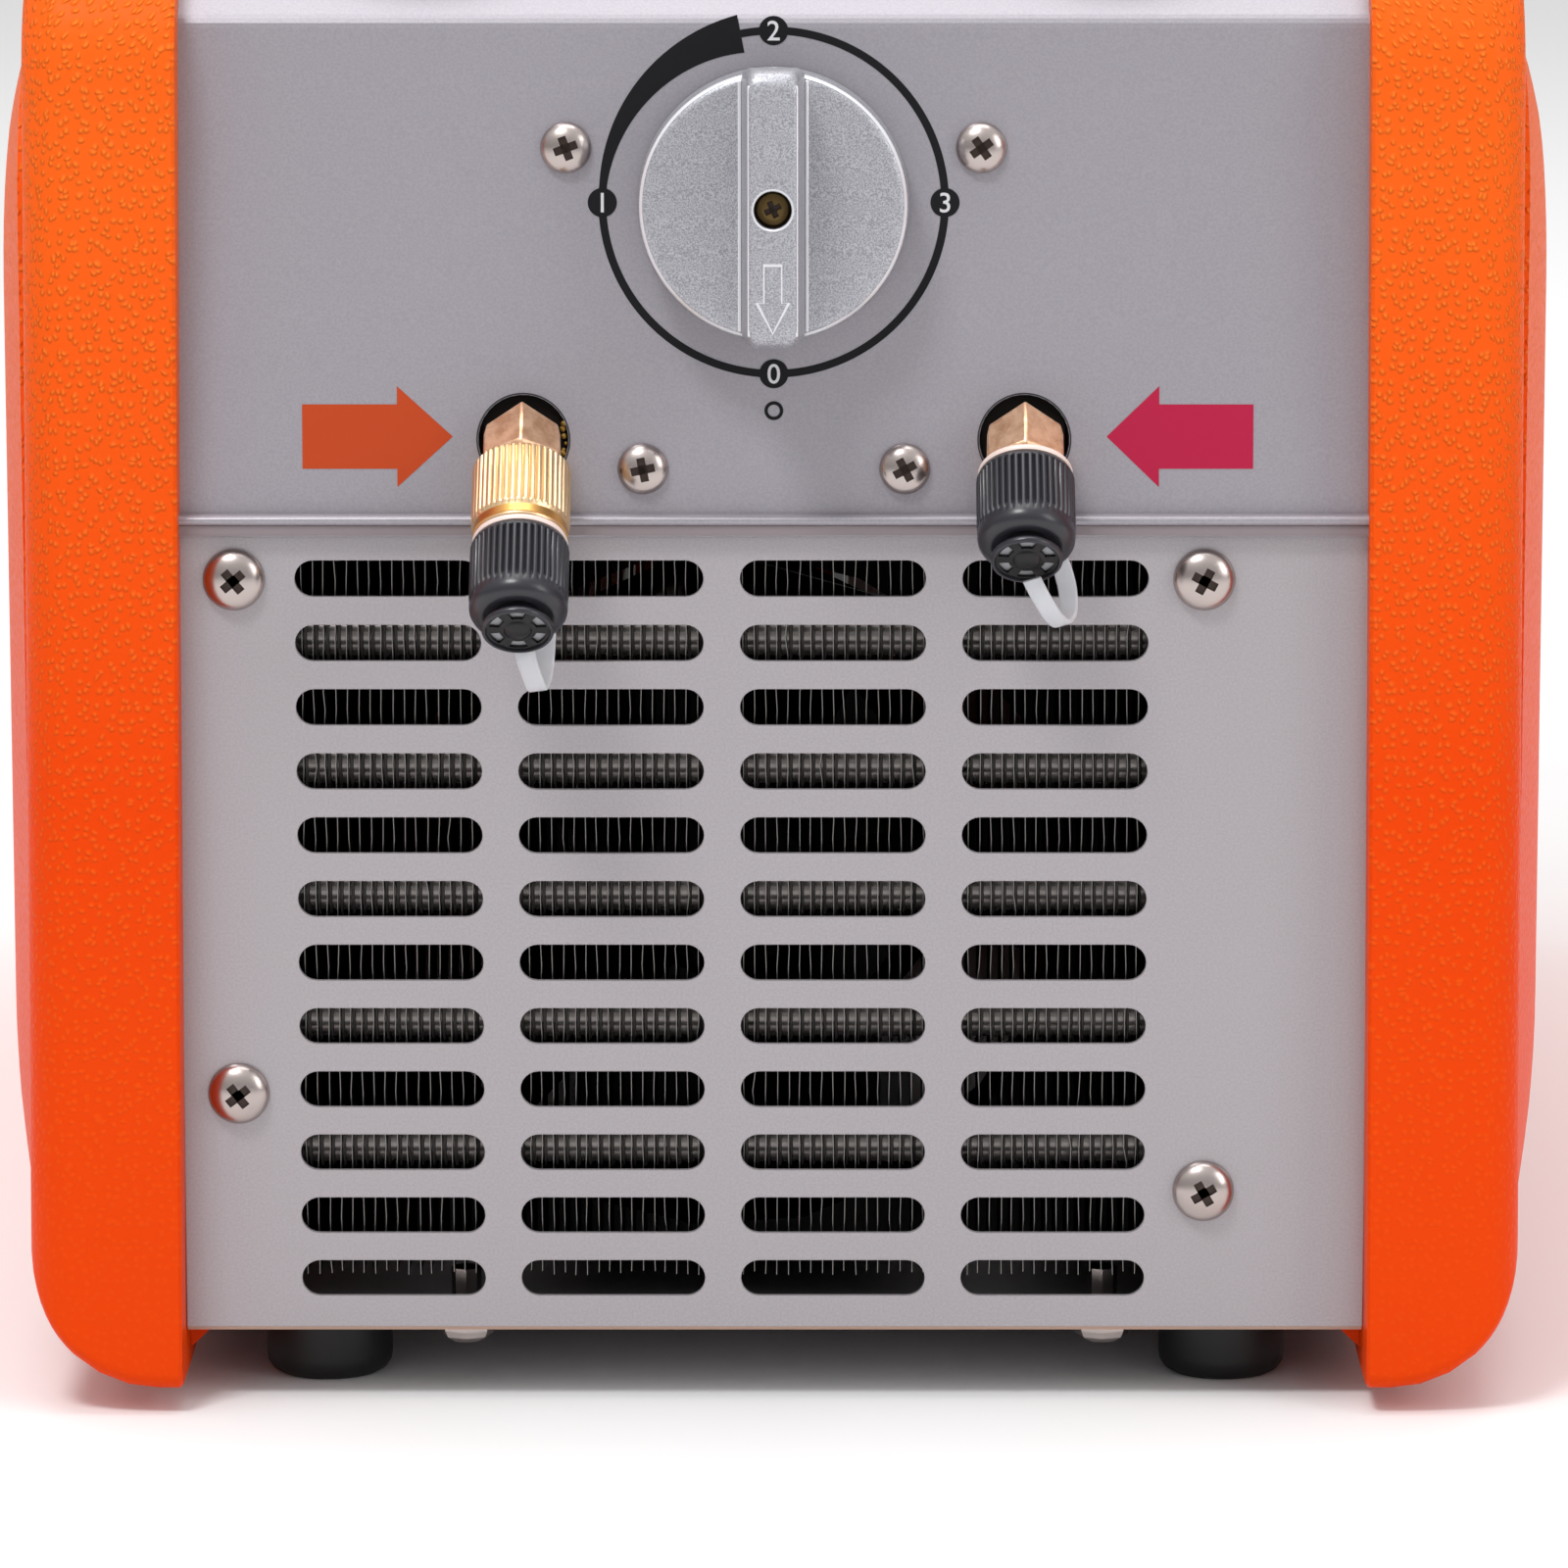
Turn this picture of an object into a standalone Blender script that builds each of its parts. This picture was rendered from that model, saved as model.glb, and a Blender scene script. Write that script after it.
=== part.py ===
"""Portable refrigerant recovery machine with two moulded side covers.

Metres, +Z up, front facing -Y. The origin is on the floor, in the middle of the machine.
Local frames: a piece that stands on a face is modelled with local +Z pointing out of that face.
"""

import math

import bmesh
import bpy
from mathutils import Matrix, Vector

MM = 0.001

# Overall form
HALF_WIDTH = 125 * MM
COVER_FRONT_Y = -190 * MM
COVER_DEPTH = 400 * MM
CLEARANCE = 0.3 * MM
SHEET = 1.2 * MM
BEND_RADIUS = 3 * MM
SHEET_FLANGE = 12 * MM

# Metal body between the covers
COVER_INNER_X = 95 * MM
PANEL_RECESS = 10 * MM
BODY_BOTTOM_Z = 12 * MM
FOOT_FLANGE_HALF = 82 * MM
FOOT_FLANGE_DEPTH = 34 * MM
CREASE_Z = 142.6 * MM
BEAD_BELOW = 1.8 * MM
BEAD_PROUD = 1.5 * MM
PANEL_LEAN = math.radians(3)
PANEL_BEND_Z = 222.1 * MM
GAUGE_SLOPE = math.radians(42)
GAUGE_PANEL_LENGTH = 84 * MM
TOP_FLANGE = 18 * MM
PAN_WALL = 4.2 * MM

# Side covers
COVER_BOTTOM_Z = 4 * MM
COVER_PROUD = 10 * MM
COVER_WALL = 3 * MM
COVER_RIM_X = 119.5 * MM
RIM_ROUNDING = 7 * MM
BOTTOM_ROUNDING_WIDTH = 15.5 * MM
BOTTOM_ROUNDING_RISE = 26 * MM
ARCH_FRONT_Y = -43 * MM
ARCH_BACK_Y = 52 * MM
ARCH_FOOT_Y = 128 * MM
COVER_RETURN = 14 * MM
LEDGE_DEPTH = 8 * MM
LEDGE_HEIGHT = 2.2 * MM
BULGE_BOTTOM_Z = 35.5 * MM
BULGE_TOP_Z = 217.8 * MM
BULGE_SETBACK = 12 * MM
BULGE_RADIUS = 26 * MM
BULGE_RAMP = 20 * MM

# Grille
SLOT_ROWS = 12
SLOT_COLUMNS = 4
SLOT_LENGTH = 29.5 * MM
SLOT_HEIGHT = 5.8 * MM
SLOT_PITCH_X = 35.3 * MM
SLOT_PITCH_Z = 10.34 * MM
SLOT_FIELD_X = -8.3 * MM
SLOT_TOP_ROW_Z = 134 * MM

# Rear air slots
REAR_ROWS = 7
REAR_COLUMNS = 3
REAR_SLOT_LENGTH = 40 * MM
REAR_SLOT_PITCH_X = 50 * MM
REAR_SLOT_PITCH_Z = 14 * MM
REAR_SLOT_BOTTOM_Z = 128 * MM

# Screws: head radius, head height, shank radius, shank length
M4_SCREW = (4 * MM, 2.4 * MM, 2 * MM, 9 * MM)
M5_SCREW = (4.8 * MM, 3 * MM, 2.4 * MM, 12 * MM)
BASE_SCREW = (4.8 * MM, 3 * MM, 2.4 * MM, 9 * MM)
SCREW_PLAY = 0.4 * MM
PANEL_SCREWS = ((-32.7, 202.1), (32.7, 202.1), (-20.7, 151.5), (20.7, 151.5))
GRILLE_SCREWS = ((-85.6, 133.9), (68.2, 133.9), (-85.8, 50.7), (68.8, 34.7))
BASE_SCREW_X = (-50 * MM, 53 * MM)
BASE_SCREW_SETBACK = 10 * MM

# Feet
FOOT_X = 73 * MM
FOOT_SETBACK = 22 * MM
FOOT_RADIUS = 10.3 * MM
FOOT_RECESS_RADIUS = 4.5 * MM
FOOT_RECESS_DEPTH = 5 * MM

# Selector
KNOB_Z = 193.5 * MM
KNOB_RADIUS = 22 * MM
KNOB_DISC = 11 * MM
KNOB_HEIGHT = 24 * MM
KNOB_LIFT = 0.8 * MM
GRIP_TOP_WIDTH = 8 * MM
GRIP_FOOT_WIDTH = 10.3 * MM
COUNTERBORE_RADIUS = 3 * MM
COUNTERBORE_DEPTH = 5 * MM
KNOB_SCREW_RADIUS = 1.5 * MM
STEM_RADIUS = 4 * MM
STEM_REACH = 9 * MM
STEM_DEPTH = 22 * MM

# Valve block
BLOCK_HALF_WIDTH = 46 * MM
BLOCK_BELOW_KNOB = 48 * MM
BLOCK_ABOVE_KNOB = 16 * MM
BLOCK_DEPTH = 32 * MM

# Ports
PORT_X = 39.6 * MM
PORT_Z = 156.1 * MM
PORT_HOLE_RADIUS = 7.15 * MM
PORT_STANDOFF = 2.3 * MM
PORT_RISE = 0.4 * MM
PORT_TILT = math.radians(45)
HEX_ACROSS_FLATS = 12 * MM
SHANK_RADIUS = 5.4 * MM
NIPPLE_RADIUS = 5.5 * MM
NIPPLE_BORE = 2.4 * MM
NIPPLE_LENGTH = 9.5 * MM
CAP_RADIUS = 7.75 * MM
CAP_LENGTH = 16.4 * MM
KNURL_LENGTH = 12.2 * MM
KNURL_RIDGES = 16
KNURL_DEPTH = 0.3 * MM
CAP_NECK_RADIUS = 3.6 * MM
CAP_BUTTON_RADIUS = 5.6 * MM
OUTLET_HEX_LENGTH = 6.3 * MM
INLET_HEX_LENGTH = 5.9 * MM
COUPLER_LENGTH = 13.7 * MM
COUPLER_KNURL = 11.7 * MM
TETHER_RING = 0.9 * MM
STRAP_WIDTH = 4 * MM
INLET_STRAP_BULGE = 12 * MM
INLET_STRAP_ANGLE = math.radians(-75)
OUTLET_STRAP_BULGE = 13 * MM
OUTLET_STRAP_ANGLE = math.radians(-30)

# Gauges
GAUGE_X = 55 * MM
GAUGE_UP_SLOPE = 42 * MM
GAUGE_CASE_RADIUS = 29 * MM
GAUGE_BEZEL_RADIUS = 31 * MM
GAUGE_BEZEL_HEIGHT = 7.5 * MM
GAUGE_DEPTH = 24 * MM
GAUGE_SEAT_RADIUS = 26 * MM
GAUGE_DIAL_DEPTH = 4 * MM
NEEDLE_LENGTH = 20 * MM
NEEDLE_ZERO = math.radians(-135)

# Power switch
SWITCH_FLANGE = (23 * MM, 30 * MM, 2 * MM)
SWITCH_BODY = (19 * MM, 25.4 * MM, 20 * MM)
SWITCH_CAVITY = (15 * MM, 21 * MM)
ROCKER_HALF_TRAVEL = math.radians(10)

# Rear fittings
INLET_X = -55 * MM
INLET_Z = 56 * MM
INLET_FLANGE = (48 * MM, 25 * MM, 2.6 * MM)
INLET_BODY = (28 * MM, 20.6 * MM, 22 * MM)
INLET_CAVITY = (24.6 * MM, 16.8 * MM, 17 * MM)
BREAKER_X = -5 * MM
BREAKER_BODY = (16 * MM, 24 * MM, 26 * MM)
BREAKER_NECK_RADIUS = 5 * MM
BUTTON_RADIUS = 3.2 * MM

# Handle
HANDLE_Y = 5 * MM
HANDLE_RISE = 51.2 * MM
HANDLE_COVER = 24 * MM
HANDLE_RADIUS = 11 * MM
GRIP_RADIUS = 15 * MM
GRIP_HALF_LENGTH = 58 * MM
HANDLE_BOLT_RADIUS = 4 * MM
HANDLE_BOLT_HEAD = (7 * MM, 5 * MM)
HANDLE_BOLT_REACH = 16 * MM

# Condenser, fan and machinery
CORE_LEFT_X = -78 * MM
CORE_RIGHT_X = 61.5 * MM
CORE_BOTTOM_Z = 20.5 * MM
CORE_TOP_Z = 139 * MM
CORE_SETBACK = 3.5 * MM
CORE_DEPTH = 26 * MM
FIN_COUNT = 9
FIN_THICKNESS = 1 * MM
TUBE_RADIUS = 3.5 * MM
END_PLATE = 1.2 * MM
END_FLANGE = 14 * MM
SHROUD_DEPTH = 22 * MM
FAN_RADIUS = 54 * MM
FAN_HUB_RADIUS = 16 * MM
FAN_BLADES = 5
FAN_HUB_HALF = 8 * MM
SHAFT_RADIUS = 4 * MM
SHAFT_IN_MOTOR = 14 * MM
FAN_TO_MOTOR = 18 * MM
MOTOR_RADIUS = 40 * MM
MOTOR_LENGTH = 88 * MM
DRIVE_Z = 78 * MM
CRANKCASE_RADIUS = 33 * MM
CRANKCASE_LENGTH = 100 * MM
CYLINDER_RADIUS = 23 * MM
CYLINDER_TOP = 78 * MM
CYLINDER_FINS = 3
MOTOR_SADDLE = 30 * MM
CRANKCASE_SADDLE = 40 * MM
SADDLE_WIDTH = 8 * MM
PIPE_RADIUS = 3.2 * MM
PIPE_BEND = 14 * MM
PIPE_OVER_HEADS = 24 * MM
PIPE_BESIDE_CORE = 18 * MM
SUCTION_SIDE = 6 * MM
SUCTION_BELOW_KNOB = 12 * MM
RETURN_BELOW_KNOB = 30 * MM
CAPACITOR_RADIUS = 17 * MM
CAPACITOR_HEIGHT = 78 * MM

# Values worked out from the ones above
PANEL_Y = COVER_FRONT_Y + PANEL_RECESS
COVER_BACK_Y = COVER_FRONT_Y + COVER_DEPTH
REAR_Y = COVER_BACK_Y - COVER_PROUD
BODY_HALF = COVER_INNER_X - CLEARANCE
INNER_HALF = BODY_HALF - SHEET - CLEARANCE
BEND_Y = PANEL_Y + (PANEL_BEND_Z - CREASE_Z) * math.tan(PANEL_LEAN)
SLOPE_END_Y = BEND_Y + GAUGE_PANEL_LENGTH * math.cos(GAUGE_SLOPE)
SLOPE_END_Z = PANEL_BEND_Z + GAUGE_PANEL_LENGTH * math.sin(GAUGE_SLOPE)
TOP_Z = SLOPE_END_Z + CLEARANCE + SHEET
HANDLE_Z = TOP_Z + HANDLE_RISE
HEIGHT = HANDLE_Z + HANDLE_COVER
PAN_Z = BODY_BOTTOM_Z + CLEARANCE
FOOT_HEIGHT = BODY_BOTTOM_Z - SHEET - CLEARANCE
CORE_FRONT_Y = PANEL_Y + CORE_SETBACK
CORE_BACK_Y = CORE_FRONT_Y + CORE_DEPTH
SHROUD_Y = CORE_BACK_Y + CLEARANCE
FAN_Y = SHROUD_Y + 0.55 * SHROUD_DEPTH
MOTOR_Y = SHROUD_Y + SHROUD_DEPTH + FAN_TO_MOTOR
CRANKCASE_Y = MOTOR_Y + MOTOR_LENGTH + CLEARANCE
DRIVE_X = 0.5 * (CORE_LEFT_X + CORE_RIGHT_X)

OUT_OF_PANEL = (math.pi / 2 - PANEL_LEAN, 0, 0)
OUT_OF_FRONT = (math.pi / 2, 0, 0)
OUT_OF_SLOPE = (GAUGE_SLOPE, 0, 0)
OUT_OF_REAR = (math.pi / 2, 0, math.pi)
DOWN = (math.pi, 0, 0)
OUT_OF_PORT = (math.pi / 2 + PORT_TILT, 0, 0)
ALONG_REARWARD = (-math.pi / 2, 0, 0)

FINE_STEPS = 32
ROUND_STEPS = 20
MEDIUM_STEPS = 14
SMALL_STEPS = 8
CORNER_STEPS = 4
COAXIAL_PHASE = math.radians(5)


def clear_scene():
    for thing in list(bpy.data.objects):
        bpy.data.objects.remove(thing, do_unlink=True)


# Materials: base colour, roughness, metallic
def material(name, colour, roughness, metallic=0.0):
    made = bpy.data.materials.new(name)
    made.use_nodes = True
    shader = made.node_tree.nodes["Principled BSDF"]
    shader.inputs["Base Color"].default_value = (*colour, 1)
    shader.inputs["Roughness"].default_value = roughness
    shader.inputs["Metallic"].default_value = metallic
    made.diffuse_color = (*colour, 1)
    return made


def make_materials():
    return {
        "orange_plastic": material("orange_plastic", (0.95, 0.11, 0.005), 0.42),
        "painted_sheet": material("painted_sheet", (0.42, 0.41, 0.43), 0.45, 0.3),
        "steel": material("steel", (0.5, 0.5, 0.5), 0.3, 1),
        "knob_silver": material("knob_silver", (0.5, 0.5, 0.52), 0.35, 0.6),
        "brass": material("brass", (0.72, 0.48, 0.16), 0.28, 1),
        "black_plastic": material("black_plastic", (0.012, 0.012, 0.014), 0.45),
        "rubber": material("rubber", (0.015, 0.015, 0.015), 0.8),
        "tether": material("tether", (0.85, 0.83, 0.82), 0.4),
        "dial_white": material("dial_white", (0.85, 0.85, 0.83), 0.6),
        "needle_red": material("needle_red", (0.5, 0.02, 0.02), 0.5),
        "lens": material("lens", (0.8, 0.85, 0.88), 0.05),
        "aluminium": material("aluminium", (0.45, 0.46, 0.47), 0.4, 1),
        "copper": material("copper", (0.6, 0.26, 0.14), 0.35, 1),
        "red_plastic": material("red_plastic", (0.6, 0.02, 0.01), 0.4),
    }


# Outlines and paths in a plane
def rounded_outline(corners, radii, steps=CORNER_STEPS):
    """The closed outline with each corner replaced by an arc of its radius."""
    points = []
    count = len(corners)
    for index, corner in enumerate(corners):
        here = Vector(corner)
        before = (Vector(corners[index - 1]) - here).normalized()
        after = (Vector(corners[(index + 1) % count]) - here).normalized()
        points += corner_arc(here, before, after, radii[index], steps)
    return points


def rounded_path(corners, radius, steps=3):
    """The open path with its inner corners rounded."""
    points = [Vector(corners[0])]
    for index in range(1, len(corners) - 1):
        here = Vector(corners[index])
        before = (Vector(corners[index - 1]) - here).normalized()
        after = (Vector(corners[index + 1]) - here).normalized()
        points += corner_arc(here, before, after, radius, steps)
    points.append(Vector(corners[-1]))
    return points


def corner_arc(here, before, after, radius, steps):
    half_angle = 0.5 * before.angle(after)
    if radius <= 0 or half_angle > math.radians(89.5):
        return [here.copy()]
    start = here + before * (radius / math.tan(half_angle))
    end = here + after * (radius / math.tan(half_angle))
    centre = here + (before + after).normalized() * (radius / math.sin(half_angle))
    sweep = math.pi - 2 * half_angle
    points = []
    for step in range(steps + 1):
        share = step / steps
        first = math.sin((1 - share) * sweep) / math.sin(sweep)
        second = math.sin(share * sweep) / math.sin(sweep)
        points.append(centre + (start - centre) * first + (end - centre) * second)
    return points


def inset_corners(corners, insets):
    """Corners of a counter-clockwise polygon with edge i moved inward by insets[i]."""
    moved = []
    count = len(corners)
    for index in range(count):
        lines = []
        for edge in ((index - 1) % count, index):
            start = Vector(corners[edge])
            end = Vector(corners[(edge + 1) % count])
            along = (end - start).normalized()
            inward = Vector((-along.y, along.x)) * insets[edge]
            lines.append((start + inward, end + inward, along))
        moved.append(meet(lines[0], lines[1]))
    return moved


def offset_path(corners, distance):
    """The open path moved to its left by distance, with mitred corners."""
    lines = []
    for start, end in zip(corners, corners[1:]):
        start, end = Vector(start), Vector(end)
        along = (end - start).normalized()
        side = Vector((-along.y, along.x)) * distance
        lines.append((start + side, end + side, along))
    moved = [lines[0][0]]
    for first, second in zip(lines, lines[1:]):
        moved.append(meet(first, second))
    moved.append(lines[-1][1])
    return moved


def meet(first, second):
    cross = first[2].x * second[2].y - first[2].y * second[2].x
    gap = second[0] - first[0]
    reach = (gap.x * second[2].y - gap.y * second[2].x) / cross
    return first[0] + first[2] * reach


def extend_path(corners, length):
    """The path with both of its ends moved outward along their own segments."""
    points = [Vector(point) for point in corners]
    points[0] = points[0] + (points[0] - points[1]).normalized() * length
    points[-1] = points[-1] + (points[-1] - points[-2]).normalized() * length
    return points


def obround(length, height, centre=(0, 0), steps=3):
    """A slot's outline, with round ends."""
    radius = 0.5 * height
    points = []
    for side, start in ((1, -0.5 * math.pi), (-1, 0.5 * math.pi)):
        for step in range(steps + 1):
            angle = start + math.pi * step / steps
            across = centre[0] + side * (0.5 * length - radius) + radius * math.cos(angle)
            points.append((across, centre[1] + radius * math.sin(angle)))
    return points


def box_outline(width, height, centre=(0, 0)):
    low_x, high_x = centre[0] - 0.5 * width, centre[0] + 0.5 * width
    low_y, high_y = centre[1] - 0.5 * height, centre[1] + 0.5 * height
    return [(low_x, low_y), (high_x, low_y), (high_x, high_y), (low_x, high_y)]


def ring_outline(radius, steps):
    angles = [2 * math.pi * step / steps for step in range(steps)]
    return [(radius * math.cos(angle), radius * math.sin(angle)) for angle in angles]


# Solids
AXES = {
    "X": lambda point, level: (level, point[0], point[1]),
    "Y": lambda point, level: (point[0], level, point[1]),
    "Z": lambda point, level: (point[0], point[1], level),
}


def loft(rings):
    """A closed solid through rings of equal point count, with flat ends."""
    mesh = bmesh.new()
    rows = [[mesh.verts.new(point) for point in ring] for ring in rings]
    for low, high in zip(rows, rows[1:]):
        for index in range(len(low)):
            after = (index + 1) % len(low)
            mesh.faces.new((low[index], low[after], high[after], high[index]))
    mesh.faces.new(rows[0][::-1])
    mesh.faces.new(rows[-1])
    return mesh


def prism(outline, low, high, axis):
    place = AXES[axis]
    return loft([[place(point, level) for point in outline] for level in (low, high)])


def cuboid(low, high):
    outline = [(low[0], low[1]), (high[0], low[1]), (high[0], high[1]), (low[0], high[1])]
    return prism(outline, low[2], high[2], "Z")


def turned(profile, steps=ROUND_STEPS, hollow=False):
    """Spins (radius, height) points round local Z. A hollow profile is a closed loop."""
    mesh = bmesh.new()
    corners = [mesh.verts.new((radius, 0, height)) for radius, height in profile]
    pairs = list(zip(corners, corners[1:]))
    if hollow:
        pairs.append((corners[-1], corners[0]))
    edges = [mesh.edges.new(pair) for pair in pairs]
    bmesh.ops.spin(
        mesh,
        geom=corners + edges,
        axis=(0, 0, 1),
        cent=(0, 0, 0),
        angle=2 * math.pi,
        steps=steps,
        use_merge=True,
    )
    bmesh.ops.remove_doubles(mesh, verts=mesh.verts, dist=1e-6)
    bmesh.ops.dissolve_verts(mesh, verts=[vert for vert in mesh.verts if is_flat_pole(vert)])
    return mesh


def is_flat_pole(vert):
    """Whether a vertex on the axis is only the middle of a flat end."""
    level = vert.co.z
    on_axis = vert.co.xy.length < 1e-7
    return on_axis and all(abs(edge.other_vert(vert).co.z - level) < 1e-7 for edge in vert.link_edges)


def coaxial(profile, steps=ROUND_STEPS, hollow=False):
    """A turned solid to join to or cut from another on its own axis: its facets start elsewhere."""
    return moved(turned(profile, steps, hollow), rotation=Matrix.Rotation(COAXIAL_PHASE, 4, "Z"))


def joined(meshes):
    """Several separate solids as one cutter."""
    whole = bmesh.new()
    for part in meshes:
        holder = bpy.data.meshes.new("join")
        part.to_mesh(holder)
        part.free()
        whole.from_mesh(holder)
        bpy.data.meshes.remove(holder)
    return whole


def moved(mesh, offset=(0, 0, 0), rotation=None):
    matrix = Matrix.Translation(offset)
    if rotation is not None:
        matrix = matrix @ rotation
    bmesh.ops.transform(mesh, matrix=matrix, verts=mesh.verts)
    return mesh


def datum(name, location, rotation=(0, 0, 0)):
    empty = bpy.data.objects.new(name, None)
    empty.empty_display_size = 10 * MM
    empty.location = location
    empty.rotation_euler = rotation
    bpy.context.scene.collection.objects.link(empty)
    return empty


def piece(name, mesh, finish=None, parent=None):
    bmesh.ops.recalc_face_normals(mesh, faces=mesh.faces)
    data = bpy.data.meshes.new(name)
    mesh.to_mesh(data)
    mesh.free()
    data.shade_smooth()
    data.set_sharp_from_angle(angle=math.radians(35))
    if finish is not None:
        data.materials.append(finish)
    made = bpy.data.objects.new(name, data)
    made.parent = parent
    bpy.context.scene.collection.objects.link(made)
    return made


def boolean(target, mesh, operation, parent, solver):
    helper = piece(f"{target.name}_{operation.lower()}_{len(target.modifiers)}", mesh, None, parent)
    helper.hide_render = True
    helper.display_type = "WIRE"
    modifier = target.modifiers.new(operation.title(), "BOOLEAN")
    modifier.operation = operation
    modifier.solver = solver
    modifier.object = helper
    return helper


def cut(target, mesh, parent=None, solver="EXACT"):
    return boolean(target, mesh, "DIFFERENCE", parent, solver)


def add(target, mesh, parent=None, solver="EXACT"):
    return boolean(target, mesh, "UNION", parent, solver)


def panel_point(height):
    """The point of the leaning control panel's front face at this height."""
    return (0, PANEL_Y + (height - CREASE_Z) * math.tan(PANEL_LEAN), height)


def slope_point(across, up_slope):
    """A point of the gauge panel's face, up_slope from its lower bend."""
    back = BEND_Y + up_slope * math.cos(GAUGE_SLOPE)
    return (across, back, PANEL_BEND_Z + up_slope * math.sin(GAUGE_SLOPE))


# Sheet-metal body
def folded_sheet(name, corners, finish):
    """A folded sheet with side flanges. The corners run along its outer face, inside on the left."""
    overshoot = 5 * MM
    outer = rounded_path(corners, BEND_RADIUS)
    edge = offset_path(corners, SHEET_FLANGE)
    blank = prism(outer + edge[::-1], -BODY_HALF, BODY_HALF, "X")
    sheet = piece(name, blank, finish)
    long_corners = extend_path(corners, overshoot)
    inner = rounded_path(offset_path(long_corners, SHEET), BEND_RADIUS - SHEET)
    far = offset_path(long_corners, SHEET_FLANGE + overshoot)
    cut(sheet, prism(inner + far[::-1], SHEET - BODY_HALF, BODY_HALF - SHEET, "X"))
    return sheet


def slot_field(rows, columns, length, height, pitch, corner, depth):
    """Cutters for a grid of slots. corner is the first slot's centre in X and Z."""
    slots = []
    for row in range(rows):
        for column in range(columns):
            centre = (corner[0] + column * pitch[0], corner[1] + row * pitch[1])
            slots.append(prism(obround(length, height, centre), depth[0], depth[1], "Y"))
    return joined(slots)


def flange_notches(front, back):
    """Cutters that stop a bottom flange short of the side covers."""
    low = BODY_BOTTOM_Z - 2 * SHEET
    reach = BODY_HALF + SHEET
    top = BODY_BOTTOM_Z + CLEARANCE
    right = cuboid((FOOT_FLANGE_HALF, front, low), (reach, back, top))
    left = cuboid((-reach, front, low), (-FOOT_FLANGE_HALF, back, top))
    return joined([left, right])


def hole(radius, depth, steps=SMALL_STEPS):
    """A round cutter along local Z, through a sheet whose face is at Z = 0."""
    return coaxial([(0, depth), (radius, depth), (radius, -depth), (0, -depth)], steps)


def front_grille(finish):
    bottom = BODY_BOTTOM_Z - SHEET
    top = CREASE_Z - CLEARANCE - SHEET_FLANGE * math.tan(PANEL_LEAN)
    corners = [
        (PANEL_Y, top),
        (PANEL_Y, bottom),
        (PANEL_Y + FOOT_FLANGE_DEPTH, bottom),
    ]
    sheet = folded_sheet("front_grille", corners, finish)
    field_left = SLOT_FIELD_X - 0.5 * (SLOT_COLUMNS - 1) * SLOT_PITCH_X
    corner = (field_left, SLOT_TOP_ROW_Z)
    pitch = (SLOT_PITCH_X, -SLOT_PITCH_Z)
    depth = (PANEL_Y - SHEET, PANEL_Y + 2 * SHEET)
    slots = slot_field(SLOT_ROWS, SLOT_COLUMNS, SLOT_LENGTH, SLOT_HEIGHT, pitch, corner, depth)
    cut(sheet, slots)
    notches = flange_notches(PANEL_Y - SHEET, PANEL_Y + FOOT_FLANGE_DEPTH + SHEET)
    cut(sheet, notches, solver="MANIFOLD")
    holes = []
    for across, height in GRILLE_SCREWS:
        bore = hole(M5_SCREW[2] + SCREW_PLAY, 3 * SHEET)
        holes.append(moved(bore, (across * MM, PANEL_Y, height * MM), Matrix.Rotation(math.pi / 2, 4, "X")))
    for across in BASE_SCREW_X:
        bore = hole(M5_SCREW[2] + SCREW_PLAY, 3 * SHEET)
        holes.append(moved(bore, (across, PANEL_Y + BASE_SCREW_SETBACK, BODY_BOTTOM_Z)))
    cut(sheet, joined(holes))
    return sheet


def base_pan(finish):
    half = INNER_HALF
    top = PAN_Z + SHEET + PAN_WALL
    outline = [
        (-half, PAN_Z),
        (half, PAN_Z),
        (half, top),
        (half - SHEET, top),
        (half - SHEET, PAN_Z + SHEET),
        (SHEET - half, PAN_Z + SHEET),
        (SHEET - half, top),
        (-half, top),
    ]
    front = PANEL_Y + BEND_RADIUS + CLEARANCE
    back = REAR_Y - BEND_RADIUS - CLEARANCE
    pan = piece("base_pan", prism(outline, front, back, "Y"), finish)
    bores = []
    for across in BASE_SCREW_X:
        bore = hole(M5_SCREW[2] + SCREW_PLAY, 3 * SHEET)
        bores.append(moved(bore, (across, PANEL_Y + BASE_SCREW_SETBACK, PAN_Z)))
    cut(pan, joined(bores))
    return pan


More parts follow.
